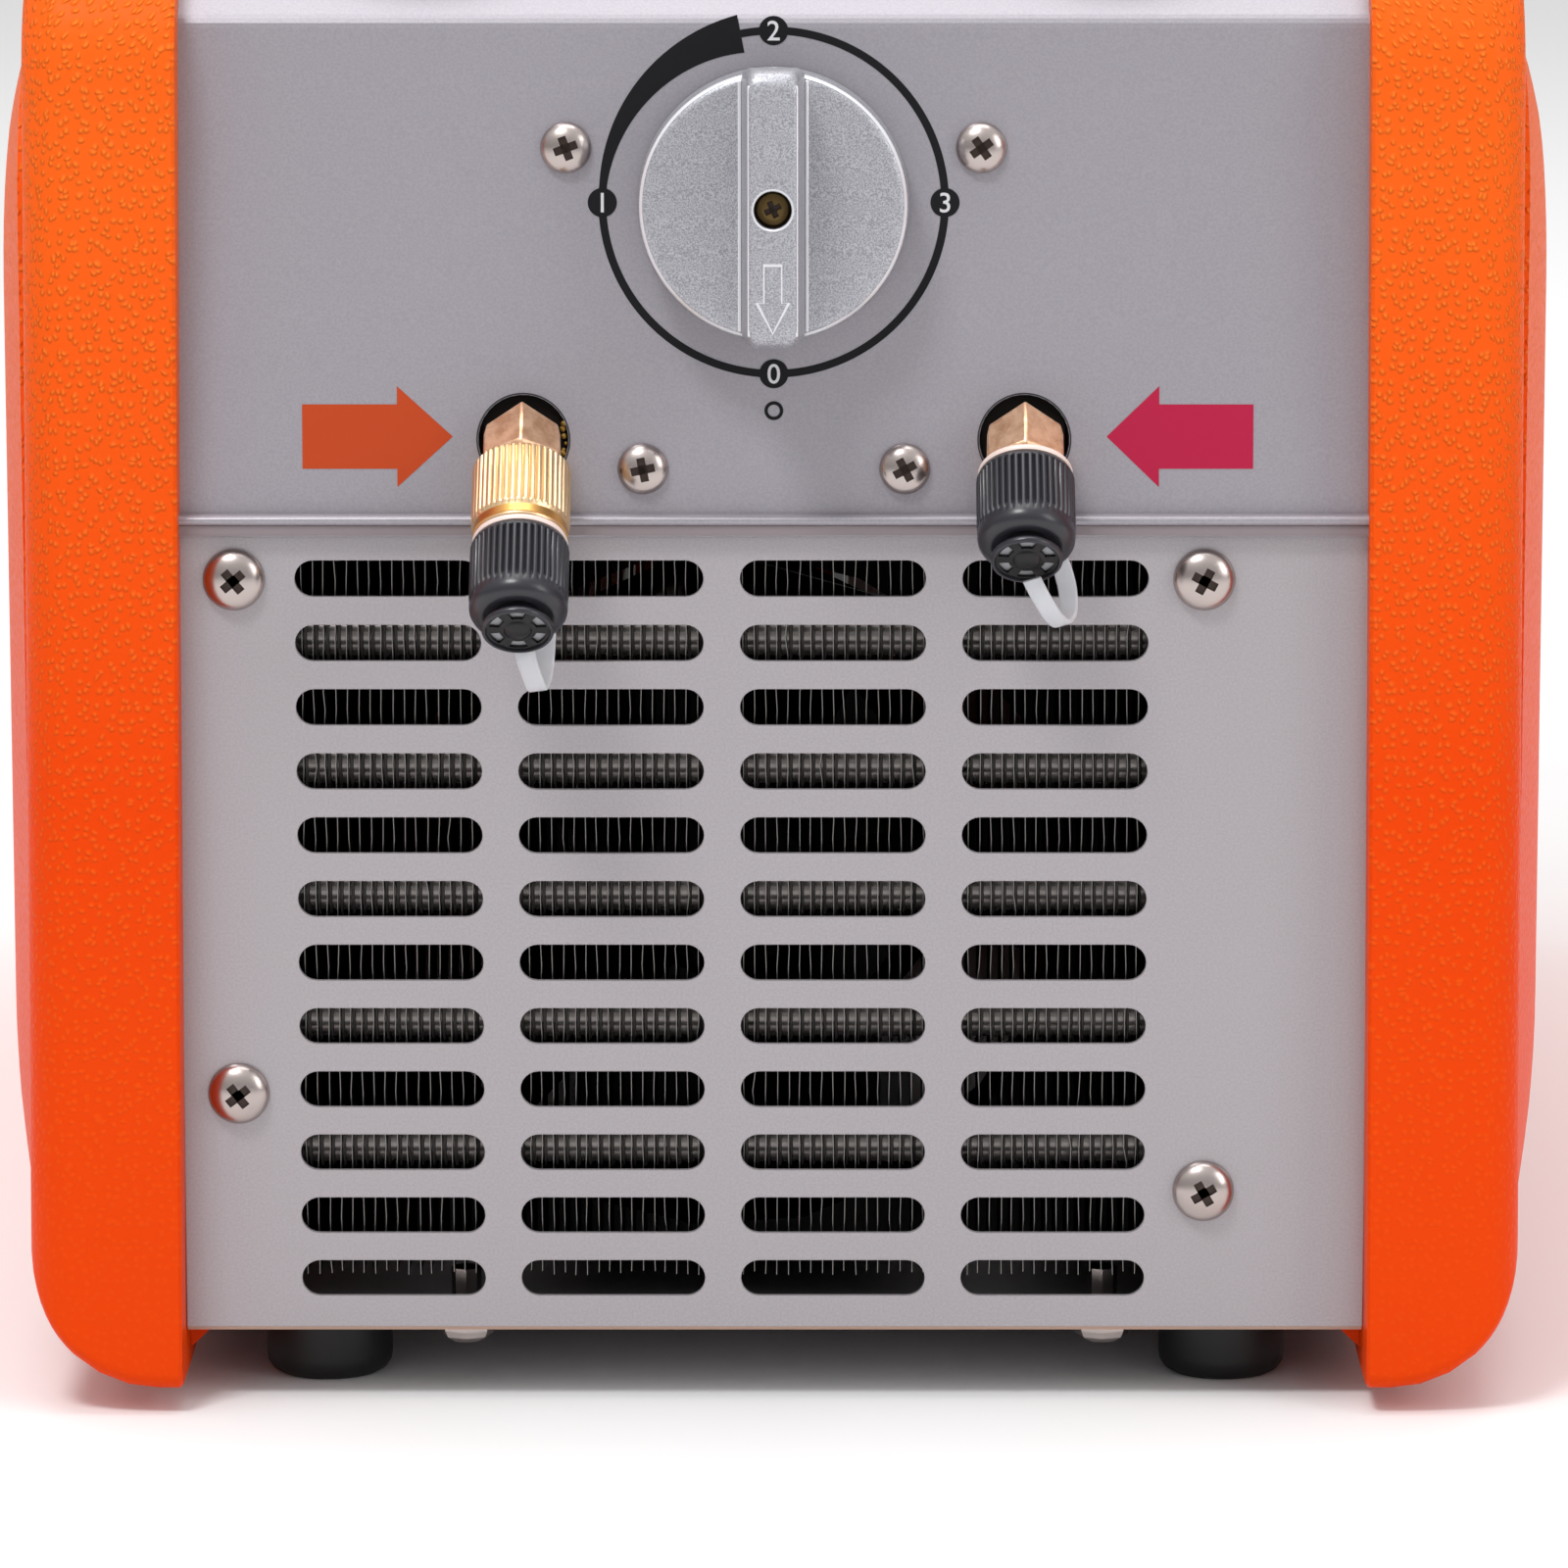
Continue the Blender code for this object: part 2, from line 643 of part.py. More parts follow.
def control_panel(finish):
    """The upper sheet: rolled bead at its foot, leaning face, gauge panel and a flange under the top."""
    bead_front = PANEL_Y - CLEARANCE - BEAD_PROUD
    corners = [
        (SLOPE_END_Y + TOP_FLANGE, SLOPE_END_Z),
        (SLOPE_END_Y, SLOPE_END_Z),
        (BEND_Y, PANEL_BEND_Z),
        (PANEL_Y, CREASE_Z),
    ]
    sheet = folded_sheet("control_panel", corners, finish)
    bead_height = 2 * BEAD_BELOW
    bead_low = CREASE_Z - BEAD_BELOW
    bead_radius = 0.45 * BEAD_PROUD
    outline = rounded_outline(
        [
            (bead_front, bead_low),
            (PANEL_Y - CLEARANCE, bead_low),
            (PANEL_Y - CLEARANCE, CREASE_Z),
            (PANEL_Y + 0.5 * SHEET, CREASE_Z + 0.2 * SHEET),
            (PANEL_Y + 0.5 * SHEET, bead_low + bead_height),
            (bead_front, bead_low + bead_height),
        ],
        [bead_radius, 0, 0, 0, 0, bead_radius],
    )
    add(sheet, prism(outline, -BODY_HALF, BODY_HALF, "X"))
    trim_y = SLOPE_END_Y + SHEET
    trim_low = SLOPE_END_Z - 2 * SHEET_FLANGE
    trims = []
    for side in (-1, 1):
        near, far = sorted((side * INNER_HALF, side * (BODY_HALF + SHEET)))
        low = (near, trim_y, trim_low)
        high = (far, SLOPE_END_Y + 2 * TOP_FLANGE, SLOPE_END_Z + SHEET)
        trims.append(cuboid(low, high))
    cut(sheet, joined(trims))
    return sheet


def cut_panel_holes(sheet, frames):
    """Holes for the ports, the stem and the screws, then the gauge and switch openings."""
    flat = []
    for across, height in PANEL_SCREWS:
        up = (height * MM - KNOB_Z) / math.cos(PANEL_LEAN)
        flat.append(moved(hole(M4_SCREW[2] + SCREW_PLAY, 3 * SHEET), (across * MM, up, 0)))
    for side in (-1, 1):
        up = (PORT_Z - KNOB_Z) / math.cos(PANEL_LEAN)
        flat.append(moved(hole(PORT_HOLE_RADIUS, 3 * SHEET, FINE_STEPS), (side * PORT_X, up, 0)))
    flat.append(hole(STEM_RADIUS + 1 * MM, 3 * SHEET, ROUND_STEPS))
    cut(sheet, joined(flat), frames["knob"])
    for key in ("low_gauge", "high_gauge"):
        cut(sheet, hole(GAUGE_CASE_RADIUS + CLEARANCE, 3 * SHEET, FINE_STEPS), frames[key])
    width, height = SWITCH_BODY[0] + 2 * CLEARANCE, SWITCH_BODY[1] + 2 * CLEARANCE
    cut(sheet, prism(box_outline(width, height), -3 * SHEET, 3 * SHEET, "Z"), frames["switch"])


def rear_cover(finish, frames):
    bottom = BODY_BOTTOM_Z - SHEET
    corners = [
        (REAR_Y - FOOT_FLANGE_DEPTH, bottom),
        (REAR_Y, bottom),
        (REAR_Y, TOP_Z),
        (SLOPE_END_Y + 2 * SHEET, TOP_Z),
    ]
    sheet = folded_sheet("rear_cover", corners, finish)
    field_left = -0.5 * (REAR_COLUMNS - 1) * REAR_SLOT_PITCH_X
    corner = (field_left, REAR_SLOT_BOTTOM_Z)
    pitch = (REAR_SLOT_PITCH_X, REAR_SLOT_PITCH_Z)
    depth = (REAR_Y - 2 * SHEET, REAR_Y + SHEET)
    slots = slot_field(REAR_ROWS, REAR_COLUMNS, REAR_SLOT_LENGTH, SLOT_HEIGHT, pitch, corner, depth)
    cut(sheet, slots)
    cut(sheet, flange_notches(REAR_Y - FOOT_FLANGE_DEPTH - SHEET, REAR_Y + SHEET))
    width, height = INLET_BODY[0] + 2 * CLEARANCE, INLET_BODY[1] + 2 * CLEARANCE
    cut(sheet, prism(box_outline(width, height), -3 * SHEET, 3 * SHEET, "Z"), frames["inlet"])
    cut(sheet, hole(BREAKER_NECK_RADIUS + CLEARANCE, 3 * SHEET, ROUND_STEPS), frames["breaker"])
    return sheet


# Side covers
def quarter_round(distance, width, rise):
    """How far an elliptical rounding has come in, at this distance into its width."""
    share = min(max(distance / width, 0), 1)
    return rise * (1 - math.sqrt(1 - share * share))


def cover_corners():
    """The corners of the cover's side outline, in Y and Z, from its lower front corner."""
    slope_run = 1 / math.tan(GAUGE_SLOPE)
    nose_z = HEIGHT - (ARCH_FRONT_Y - COVER_FRONT_Y) / slope_run
    shoulder_z = TOP_Z + COVER_PROUD
    return [
        (COVER_FRONT_Y, COVER_BOTTOM_Z),
        (COVER_BACK_Y, COVER_BOTTOM_Z),
        (COVER_BACK_Y, shoulder_z),
        (ARCH_FOOT_Y, shoulder_z),
        (ARCH_BACK_Y, HEIGHT),
        (ARCH_FRONT_Y, HEIGHT),
        (COVER_FRONT_Y, nose_z),
    ]


# Each corner of the cover's side outline: its radius and whether it is hollow
COVER_ROUNDINGS = [
    (12 * MM, False),
    (16 * MM, False),
    (26 * MM, False),
    (18 * MM, True),
    (24 * MM, False),
    (24 * MM, False),
    (20 * MM, False),
]


def cover_ring(across, front_inset, bottom_inset):
    corners = cover_corners()
    insets = [bottom_inset] + [front_inset] * (len(corners) - 1)
    smaller = inset_corners(corners, insets)
    radii = []
    for radius, hollow in COVER_ROUNDINGS:
        radii.append(radius + front_inset if hollow else max(radius - front_inset, 3 * MM))
    outline = rounded_outline(smaller, radii, 3)
    return [(across, point[0], point[1]) for point in outline]


def cover_shell():
    """Rings across the cover: flat face, then a rounding that is larger along the bottom edge."""
    front_start = COVER_RIM_X - RIM_ROUNDING
    bottom_start = COVER_RIM_X - BOTTOM_ROUNDING_WIDTH
    levels = [COVER_INNER_X, bottom_start, bottom_start + 0.5 * (front_start - bottom_start)]
    for angle in (0, 35, 65, 90):
        levels.append(front_start + RIM_ROUNDING * math.sin(math.radians(angle)))
    rings = []
    for across in levels:
        front = quarter_round(across - front_start, RIM_ROUNDING, RIM_ROUNDING)
        bottom = quarter_round(
            across - bottom_start, BOTTOM_ROUNDING_WIDTH, BOTTOM_ROUNDING_RISE
        )
        rings.append(cover_ring(across, front, bottom))
    return loft(rings)


def cover_pocket():
    """The hollow inside the shell, a wall's thickness in from its skin."""
    near = COVER_INNER_X + COVER_WALL
    middle = COVER_RIM_X - RIM_ROUNDING - 0.5 * COVER_WALL
    far = COVER_RIM_X - COVER_WALL
    shallow = 2.5 * COVER_WALL
    return loft(
        [
            cover_ring(near, COVER_WALL, COVER_WALL),
            cover_ring(middle, COVER_WALL, COVER_WALL + shallow),
            cover_ring(far, COVER_WALL + RIM_ROUNDING, COVER_WALL + BOTTOM_ROUNDING_RISE),
        ]
    )


def bulge_ring(across, inset, ramp):
    front = COVER_FRONT_Y + BULGE_SETBACK + inset
    back = COVER_BACK_Y - BULGE_SETBACK - inset
    low = BULGE_BOTTOM_Z + inset + 0.6 * ramp
    high = BULGE_TOP_Z - inset - 0.8 * ramp
    corners = [(front + ramp, low), (back - ramp, low), (back - ramp, high), (front + ramp, high)]
    radius = max(BULGE_RADIUS - inset, 4 * MM)
    outline = rounded_outline(corners, [radius] * 4)
    return [(across, point[0], point[1]) for point in outline]


def cover_bulge(inset, start, end):
    """The raised outer panel, its sides easing in and out like a shallow pressing."""
    rise = end - start
    shares = ((0, 0), (0.3, 0.22), (0.7, 0.55), (0.92, 0.8), (1, 1))
    levels = [(start + rise * up, BULGE_RAMP * along) for up, along in shares]
    rings = [bulge_ring(across, inset, ramp) for across, ramp in levels]
    return loft(rings)


def side_cover(name, side, finish):
    """One moulded cover. It is made on the +X side and mirrored for the other."""
    turn = Matrix.Scale(side, 4, (1, 0, 0))

    def to_side(mesh):
        return moved(mesh, rotation=turn)

    cover = piece(name, to_side(cover_shell()), finish)
    root = COVER_RIM_X - 0.6 * COVER_WALL
    add(cover, to_side(cover_bulge(0, root, HALF_WIDTH)))
    cut(cover, to_side(cover_pocket()))
    inner_top = HALF_WIDTH - COVER_WALL
    cut(cover, to_side(cover_bulge(COVER_WALL, COVER_RIM_X - 2 * COVER_WALL, inner_top)))
    opening = inset_corners(
        [
            (PANEL_Y, BODY_BOTTOM_Z),
            (REAR_Y, BODY_BOTTOM_Z),
            (REAR_Y, TOP_Z),
            (SLOPE_END_Y, TOP_Z),
            (PANEL_Y, PANEL_BEND_Z),
        ],
        [COVER_RETURN] * 5,
    )
    window = rounded_outline(opening, [8 * MM] * 5, 3)
    cut(cover, to_side(prism(window, COVER_INNER_X - SHEET, COVER_INNER_X + 2 * COVER_WALL, "X")))
    ledge_top = BODY_BOTTOM_Z - CLEARANCE
    low = (COVER_INNER_X - LEDGE_DEPTH, PANEL_Y, ledge_top - LEDGE_HEIGHT)
    high = (COVER_INNER_X + 0.5 * COVER_WALL, REAR_Y, ledge_top)
    add(cover, to_side(cuboid(low, high)))
    boss_radius = HANDLE_RADIUS + 2 * MM
    outline = ring_outline(boss_radius, MEDIUM_STEPS)
    boss = prism(outline, COVER_INNER_X + 1 * MM, COVER_RIM_X - 1 * MM, "X")
    add(cover, to_side(moved(boss, (0, HANDLE_Y, HANDLE_Z))))
    head_radius, head_height = HANDLE_BOLT_HEAD
    seat = COVER_RIM_X - head_height - 1 * MM
    steps = [
        (0, COVER_RIM_X + SHEET),
        (head_radius + 1 * MM, COVER_RIM_X + SHEET),
        (head_radius + 1 * MM, seat),
        (HANDLE_BOLT_RADIUS + CLEARANCE, seat),
        (HANDLE_BOLT_RADIUS + CLEARANCE, COVER_INNER_X - SHEET),
        (0, COVER_INNER_X - SHEET),
    ]
    bore = moved(coaxial(steps, MEDIUM_STEPS), (0, HANDLE_Y, HANDLE_Z), Matrix.Rotation(math.pi / 2, 4, "Y"))
    cut(cover, to_side(bore))
    return cover


# Handle
def handle(finishes):
    bar_half = COVER_INNER_X - CLEARANCE
    bore_radius = HANDLE_BOLT_RADIUS + CLEARANCE
    bore_depth = HANDLE_BOLT_REACH + 2 * MM
    frame = datum("handle_axis", (0, HANDLE_Y, HANDLE_Z), (0, math.pi / 2, 0))
    profile = [
        (0, bore_depth - bar_half),
        (bore_radius, bore_depth - bar_half),
        (bore_radius, -bar_half),
        (HANDLE_RADIUS, -bar_half),
        (HANDLE_RADIUS, bar_half),
        (bore_radius, bar_half),
        (bore_radius, bar_half - bore_depth),
        (0, bar_half - bore_depth),
    ]
    piece("handle_bar", turned(profile[::-1], MEDIUM_STEPS), finishes["black_plastic"], frame)
    inner = HANDLE_RADIUS + CLEARANCE
    rounding = 2 * MM
    sleeve = [
        (inner, -GRIP_HALF_LENGTH),
        (GRIP_RADIUS - rounding, -GRIP_HALF_LENGTH),
        (GRIP_RADIUS, rounding - GRIP_HALF_LENGTH),
        (GRIP_RADIUS + 0.5 * rounding, 0),
        (GRIP_RADIUS, GRIP_HALF_LENGTH - rounding),
        (GRIP_RADIUS - rounding, GRIP_HALF_LENGTH),
        (inner, GRIP_HALF_LENGTH),
    ]
    piece("handle_grip", turned(sleeve, 18, hollow=True), finishes["rubber"], frame)
    head_radius, head_height = HANDLE_BOLT_HEAD
    under_head = COVER_RIM_X - head_height - 1 * MM + CLEARANCE
    bolt = [
        (0, under_head + 0.4 * head_height),
        (0.5 * head_radius, under_head + 0.4 * head_height),
        (0.5 * head_radius, under_head + head_height),
        (0.9 * head_radius, under_head + head_height),
        (head_radius, under_head + 0.8 * head_height),
        (head_radius, under_head),
        (HANDLE_BOLT_RADIUS, under_head),
        (HANDLE_BOLT_RADIUS, bar_half - HANDLE_BOLT_REACH),
        (0, bar_half - HANDLE_BOLT_REACH),
    ]
    for name, turn in (("handle_bolt_right", math.pi / 2), ("handle_bolt_left", -math.pi / 2)):
        side = datum(f"{name}_axis", (0, HANDLE_Y, HANDLE_Z), (0, turn, 0))
        piece(name, turned(bolt, SMALL_STEPS), finishes["steel"], side)


# Screws and feet
def pan_screw(size):
    """Pan-head screw standing on Z = 0, its shank pointing down."""
    head_radius, head_height, shank_radius, length = size
    base = CLEARANCE
    profile = [
        (0, base + head_height),
        (0.55 * head_radius, base + 0.92 * head_height),
        (0.88 * head_radius, base + 0.6 * head_height),
        (head_radius, base + 0.22 * head_height),
        (head_radius, base),
        (shank_radius, base),
        (shank_radius, -length),
        (0, -length),
    ]
    return turned(profile, SMALL_STEPS)


def screws(frames, finish):
    for number, (across, height) in enumerate(PANEL_SCREWS, 1):
        frame = datum(f"panel_screw_seat_{number}", panel_point(height * MM), OUT_OF_PANEL)
        frame.location.x = across * MM
        piece(f"panel_screw_{number}", pan_screw(M4_SCREW), finish, frame)
    for number, (across, height) in enumerate(GRILLE_SCREWS, 1):
        frame = datum(f"grille_screw_seat_{number}", (across * MM, PANEL_Y, height * MM), OUT_OF_FRONT)
        piece(f"grille_screw_{number}", pan_screw(M5_SCREW), finish, frame)
    for number, across in enumerate(BASE_SCREW_X, 1):
        seat = (across, PANEL_Y + BASE_SCREW_SETBACK, BODY_BOTTOM_Z - SHEET)
        frame = datum(f"base_screw_seat_{number}", seat, DOWN)
        piece(f"base_screw_{number}", pan_screw(BASE_SCREW), finish, frame)


def feet(finish):
    rounding = 2 * MM
    profile = [
        (0, FOOT_RECESS_DEPTH),
        (FOOT_RECESS_RADIUS, FOOT_RECESS_DEPTH),
        (FOOT_RECESS_RADIUS, 0),
        (FOOT_RADIUS - 1.3 * rounding, 0),
        (FOOT_RADIUS - 0.4 * rounding, 0.7 * rounding),
        (FOOT_RADIUS, FOOT_HEIGHT),
        (0, FOOT_HEIGHT),
    ]
    places = {
        "foot_front_left": (-FOOT_X, PANEL_Y + FOOT_SETBACK),
        "foot_front_right": (FOOT_X, PANEL_Y + FOOT_SETBACK),
        "foot_rear_left": (-FOOT_X, REAR_Y - FOOT_SETBACK),
        "foot_rear_right": (FOOT_X, REAR_Y - FOOT_SETBACK),
    }
    for name, (across, back) in places.items():
        foot = piece(name, turned(profile, MEDIUM_STEPS + 2), finish)
        foot.location = (across, back, 0)


# Selector valve
def selector(frames, finishes):
    frame = frames["knob"]
    rounding = 1.5 * MM
    disc = [
        (0, KNOB_DISC),
        (KNOB_RADIUS - rounding, KNOB_DISC),
        (KNOB_RADIUS - 0.3 * rounding, KNOB_DISC - 0.3 * rounding),
        (KNOB_RADIUS, KNOB_DISC - rounding),
        (KNOB_RADIUS + 0.2 * MM, KNOB_LIFT),
        (0, KNOB_LIFT),
    ]
    knob = piece("selector_knob", turned(disc, 32), finishes["knob_silver"], frame)
    add(knob, knob_grip(), frame, "MANIFOLD")
    bore = STEM_RADIUS + CLEARANCE
    shank = KNOB_SCREW_RADIUS + CLEARANCE
    seat = KNOB_HEIGHT - COUNTERBORE_DEPTH
    well = [
        (0, KNOB_HEIGHT + 1 * MM),
        (COUNTERBORE_RADIUS, KNOB_HEIGHT + 1 * MM),
        (COUNTERBORE_RADIUS, seat),
        (shank, seat),
        (shank, STEM_REACH + CLEARANCE),
        (bore, STEM_REACH + CLEARANCE),
        (bore, 0),
        (0, 0),
    ]
    cut(knob, coaxial(well, MEDIUM_STEPS), frame, "MANIFOLD")
    thread_end = STEM_REACH - 6 * MM
    head = COUNTERBORE_RADIUS - CLEARANCE
    screw = [
        (0, seat + 2.2 * MM),
        (0.7 * head, seat + 2 * MM),
        (head, seat + 1.2 * MM),
        (head, seat + CLEARANCE),
        (KNOB_SCREW_RADIUS, seat + CLEARANCE),
        (KNOB_SCREW_RADIUS, thread_end),
        (0, thread_end),
    ]
    piece("knob_screw", turned(screw, SMALL_STEPS), finishes["brass"], frame)
    stem = [
        (0, thread_end - 1 * MM),
        (shank, thread_end - 1 * MM),
        (shank, STEM_REACH),
        (STEM_RADIUS, STEM_REACH),
        (STEM_RADIUS, -STEM_DEPTH),
        (0, -STEM_DEPTH),
    ]
    piece("valve_stem", turned(stem, SMALL_STEPS), finishes["brass"], frame)
    block_back = -(SHEET + CLEARANCE + BLOCK_DEPTH)
    low = (-BLOCK_HALF_WIDTH, -BLOCK_BELOW_KNOB, block_back)
    high = (BLOCK_HALF_WIDTH, BLOCK_ABOVE_KNOB, -(SHEET + CLEARANCE))
    block = piece("valve_block", cuboid(low, high), finishes["brass"], frame)
    bores = [hole(STEM_RADIUS + CLEARANCE, STEM_DEPTH + CLEARANCE, MEDIUM_STEPS)]
    for across, height in PANEL_SCREWS:
        up = (height * MM - KNOB_Z) / math.cos(PANEL_LEAN)
        bores.append(moved(hole(M4_SCREW[2] + CLEARANCE, M4_SCREW[3] + CLEARANCE), (across * MM, up, 0)))
    cut(block, joined(bores), frame)


def knob_grip():
    """The grip bar across the knob: narrower at its top, with rounded ends and edges."""
    half_length = KNOB_RADIUS + 0.3 * MM
    rounding = 1.6 * MM
    levels = (
        (KNOB_LIFT + 2 * MM, 0, GRIP_FOOT_WIDTH),
        (KNOB_HEIGHT - rounding, 0, GRIP_TOP_WIDTH + 0.3 * MM),
        (KNOB_HEIGHT - 0.3 * rounding, 0.3 * rounding, GRIP_TOP_WIDTH),
        (KNOB_HEIGHT, rounding, GRIP_TOP_WIDTH),
    )
    rings = []
    for level, inset, width in levels:
        outline = box_outline(width - 2 * inset, 2 * (half_length - inset))
        ring = rounded_outline(outline, [max(rounding - 0.5 * inset, 0.5 * MM)] * 4, 3)
        rings.append([(point[0], point[1], level) for point in ring])
    return loft(rings)


# Ports
def fluted(length, radius, ridges, depth, start):
    """A knurled sleeve blank: a ring of flutes along local Z."""
    points = []
    for step in range(2 * ridges):
        angle = math.pi * step / ridges
        reach = radius if step % 2 == 0 else radius - depth
        points.append((reach * math.cos(angle), reach * math.sin(angle)))
    return prism(points, start, start + length, "Z")


def hex_elbow(name, frame, hex_length, finish):
    """Hex body on the port axis, with a shank back into the valve block and a flare nipple."""
    flat = HEX_ACROSS_FLATS / math.sqrt(3)
    outline = [
        (flat * math.sin(step * math.pi / 3), flat * math.cos(step * math.pi / 3)) for step in range(6)
    ]
    body = piece(name, prism(outline, 0, hex_length, "Z"), finish, frame)
    nipple_end = hex_length + NIPPLE_LENGTH
    nipple = [
        (0, nipple_end),
        (NIPPLE_BORE + 1.6 * MM, nipple_end),
        (NIPPLE_RADIUS - 0.5 * MM, nipple_end - 1.5 * MM),
        (NIPPLE_RADIUS, nipple_end - 2.5 * MM),
        (NIPPLE_RADIUS, hex_length - 1 * MM),
        (0, hex_length - 1 * MM),
    ]
    add(body, coaxial(nipple, MEDIUM_STEPS), frame)
    shank_back = PORT_STANDOFF + 2 * SHEET
    shank = [(0, 1 * MM), (SHANK_RADIUS, 1 * MM), (SHANK_RADIUS, -shank_back), (0, -shank_back)]
    upright = Matrix.Rotation(-PORT_TILT, 4, "X")
    add(body, moved(turned(shank, MEDIUM_STEPS), rotation=upright), frame)
    bore_start = hex_length - 3 * MM
    beyond = nipple_end + 1 * MM
    bore = [(0, beyond), (NIPPLE_BORE, beyond), (NIPPLE_BORE, bore_start), (0, bore_start)]
    cut(body, coaxial(bore, SMALL_STEPS), frame)
    return body


def trim_behind_panel(body, side):
    """Keeps the fitting clear of the panel round its hole and of the valve block behind it."""
    half = PORT_HOLE_RADIUS + 3 * MM
    outer = box_outline(2 * half, 4 * half)
    keep = ring_outline(PORT_HOLE_RADIUS - CLEARANCE, FINE_STEPS)
    face = datum(f"{body.name}_panel_face", panel_point(PORT_Z), OUT_OF_PANEL)
    face.location.x = side * PORT_X
    block = piece(f"{body.name}_trim", prism(outer, -3 * half, CLEARANCE, "Z"), None, face)
    block.hide_render = True
    block.display_type = "WIRE"
    cut(block, prism(keep, -SHEET, half, "Z"), face)
    modifier = body.modifiers.new("Trim", "BOOLEAN")
    modifier.operation = "DIFFERENCE"
    modifier.solver = "EXACT"
    modifier.object = block


def knurled_cap(name, start, frame, finish):
    """A closed cap: knurled skirt, shoulder, neck for the tether and an end button."""
    knurl_end = start + KNURL_LENGTH
    cap = piece(name, fluted(KNURL_LENGTH, CAP_RADIUS, KNURL_RIDGES, KNURL_DEPTH, start), finish, frame)
    shoulder_end = start + CAP_LENGTH - 2.4 * MM
    end = start + CAP_LENGTH
    nose = [
        (0, end - 0.4 * MM),
        (CAP_NECK_RADIUS - 1 * MM, end),
        (CAP_BUTTON_RADIUS - 0.3 * MM, end),
        (CAP_BUTTON_RADIUS, end - 0.4 * MM),
        (CAP_BUTTON_RADIUS, end - 1 * MM),
        (CAP_NECK_RADIUS, end - 1 * MM),
        (CAP_NECK_RADIUS, shoulder_end),
        (CAP_RADIUS - 1.9 * MM, shoulder_end),
        (CAP_RADIUS - 0.8 * MM, knurl_end + 0.8 * MM),
        (CAP_RADIUS - 0.4 * MM, knurl_end - 0.5 * MM),
        (0, knurl_end - 0.5 * MM),
    ]
    add(cap, coaxial(nose, MEDIUM_STEPS), frame)
    inner = NIPPLE_RADIUS + CLEARANCE
    floor = start + NIPPLE_LENGTH + 1 * MM
    well = [(0, floor), (inner, floor), (inner, start - 1 * MM), (0, start - 1 * MM)]
    cut(cap, coaxial(well, MEDIUM_STEPS), frame)
    return cap


def filter_coupler(frame, finish):
    """The knurled brass coupler that holds the inlet filter, with its own flare nipple."""
    start = INLET_HEX_LENGTH + CLEARANCE
    knurl_end = start + COUPLER_KNURL
    end = start + COUPLER_LENGTH
    coupler = piece(
        "inlet_filter_coupler",
        fluted(COUPLER_KNURL, CAP_RADIUS, KNURL_RIDGES, KNURL_DEPTH, start),
        finish,
        frame,
    )
    nipple_end = end + NIPPLE_LENGTH
    nose = [
        (0, nipple_end),
        (NIPPLE_BORE + 1.6 * MM, nipple_end),
        (NIPPLE_RADIUS - 0.5 * MM, nipple_end - 1.5 * MM),
        (NIPPLE_RADIUS, nipple_end - 2.5 * MM),
        (NIPPLE_RADIUS, end),
        (CAP_RADIUS - 0.6 * MM, end),
        (CAP_RADIUS - 0.35 * MM, knurl_end - 0.5 * MM),
        (0, knurl_end - 0.5 * MM),
    ]
    add(coupler, coaxial(nose, MEDIUM_STEPS), frame, "MANIFOLD")
    inner = NIPPLE_RADIUS + CLEARANCE
    floor = start + NIPPLE_LENGTH + CLEARANCE
    well = [
        (0, nipple_end + 1 * MM),
        (NIPPLE_BORE, nipple_end + 1 * MM),
        (NIPPLE_BORE, floor),
        (inner, floor),
        (inner, start - 1 * MM),
        (0, start - 1 * MM),
    ]
    cut(coupler, coaxial(well, MEDIUM_STEPS), frame, "MANIFOLD")
    return end


def tether(name, ring_start, cap_end, bulge, angle, frame, finish):
    """A ring round the nipple, a strap that bulges out beside the cap, and a ring in its neck."""
    ring_end = ring_start + TETHER_RING
    inner = NIPPLE_RADIUS + CLEARANCE
    outer = CAP_RADIUS + 0.1 * MM
    profile = [(inner, ring_start), (outer, ring_start), (outer, ring_end), (inner, ring_end)]
    body = piece(name, turned(profile, MEDIUM_STEPS, hollow=True), finish, frame)
    neck_low = cap_end - 2.4 * MM + CLEARANCE
    neck_high = cap_end - 1 * MM - CLEARANCE
    small = CAP_NECK_RADIUS + CLEARANCE
    end_outer = CAP_BUTTON_RADIUS - 0.6 * MM
    end_profile = [(small, neck_low), (end_outer, neck_low), (end_outer, neck_high), (small, neck_high)]
    middle_ring = ring_start + 0.5 * TETHER_RING
    middle_neck = 0.5 * (neck_low + neck_high)
    shoulder = CAP_RADIUS + 1.8 * MM
    corners = [
        (outer - 1 * MM, middle_ring),
        (shoulder, middle_ring),
        (bulge, middle_ring + 0.45 * (middle_neck - middle_ring)),
        (bulge - 1 * MM, middle_neck),
        (end_outer - 0.5 * MM, middle_neck),
    ]
    add(body, strap(corners, angle, neck_high - neck_low), frame)
    add(body, turned(end_profile, MEDIUM_STEPS, hollow=True), frame)


def strap(corners, angle, thickness):
    """A flat band along an (out, along) path, in the plane that stands at angle round the axis."""
    bend = 1.4 * MM
    left = rounded_path(offset_path(corners, 0.5 * thickness), bend)
    right = rounded_path(offset_path(corners, -0.5 * thickness), bend)
    band = prism(left + right[::-1], -0.5 * STRAP_WIDTH, 0.5 * STRAP_WIDTH, "Y")
    return moved(band, rotation=Matrix.Rotation(angle, 4, "Z"))


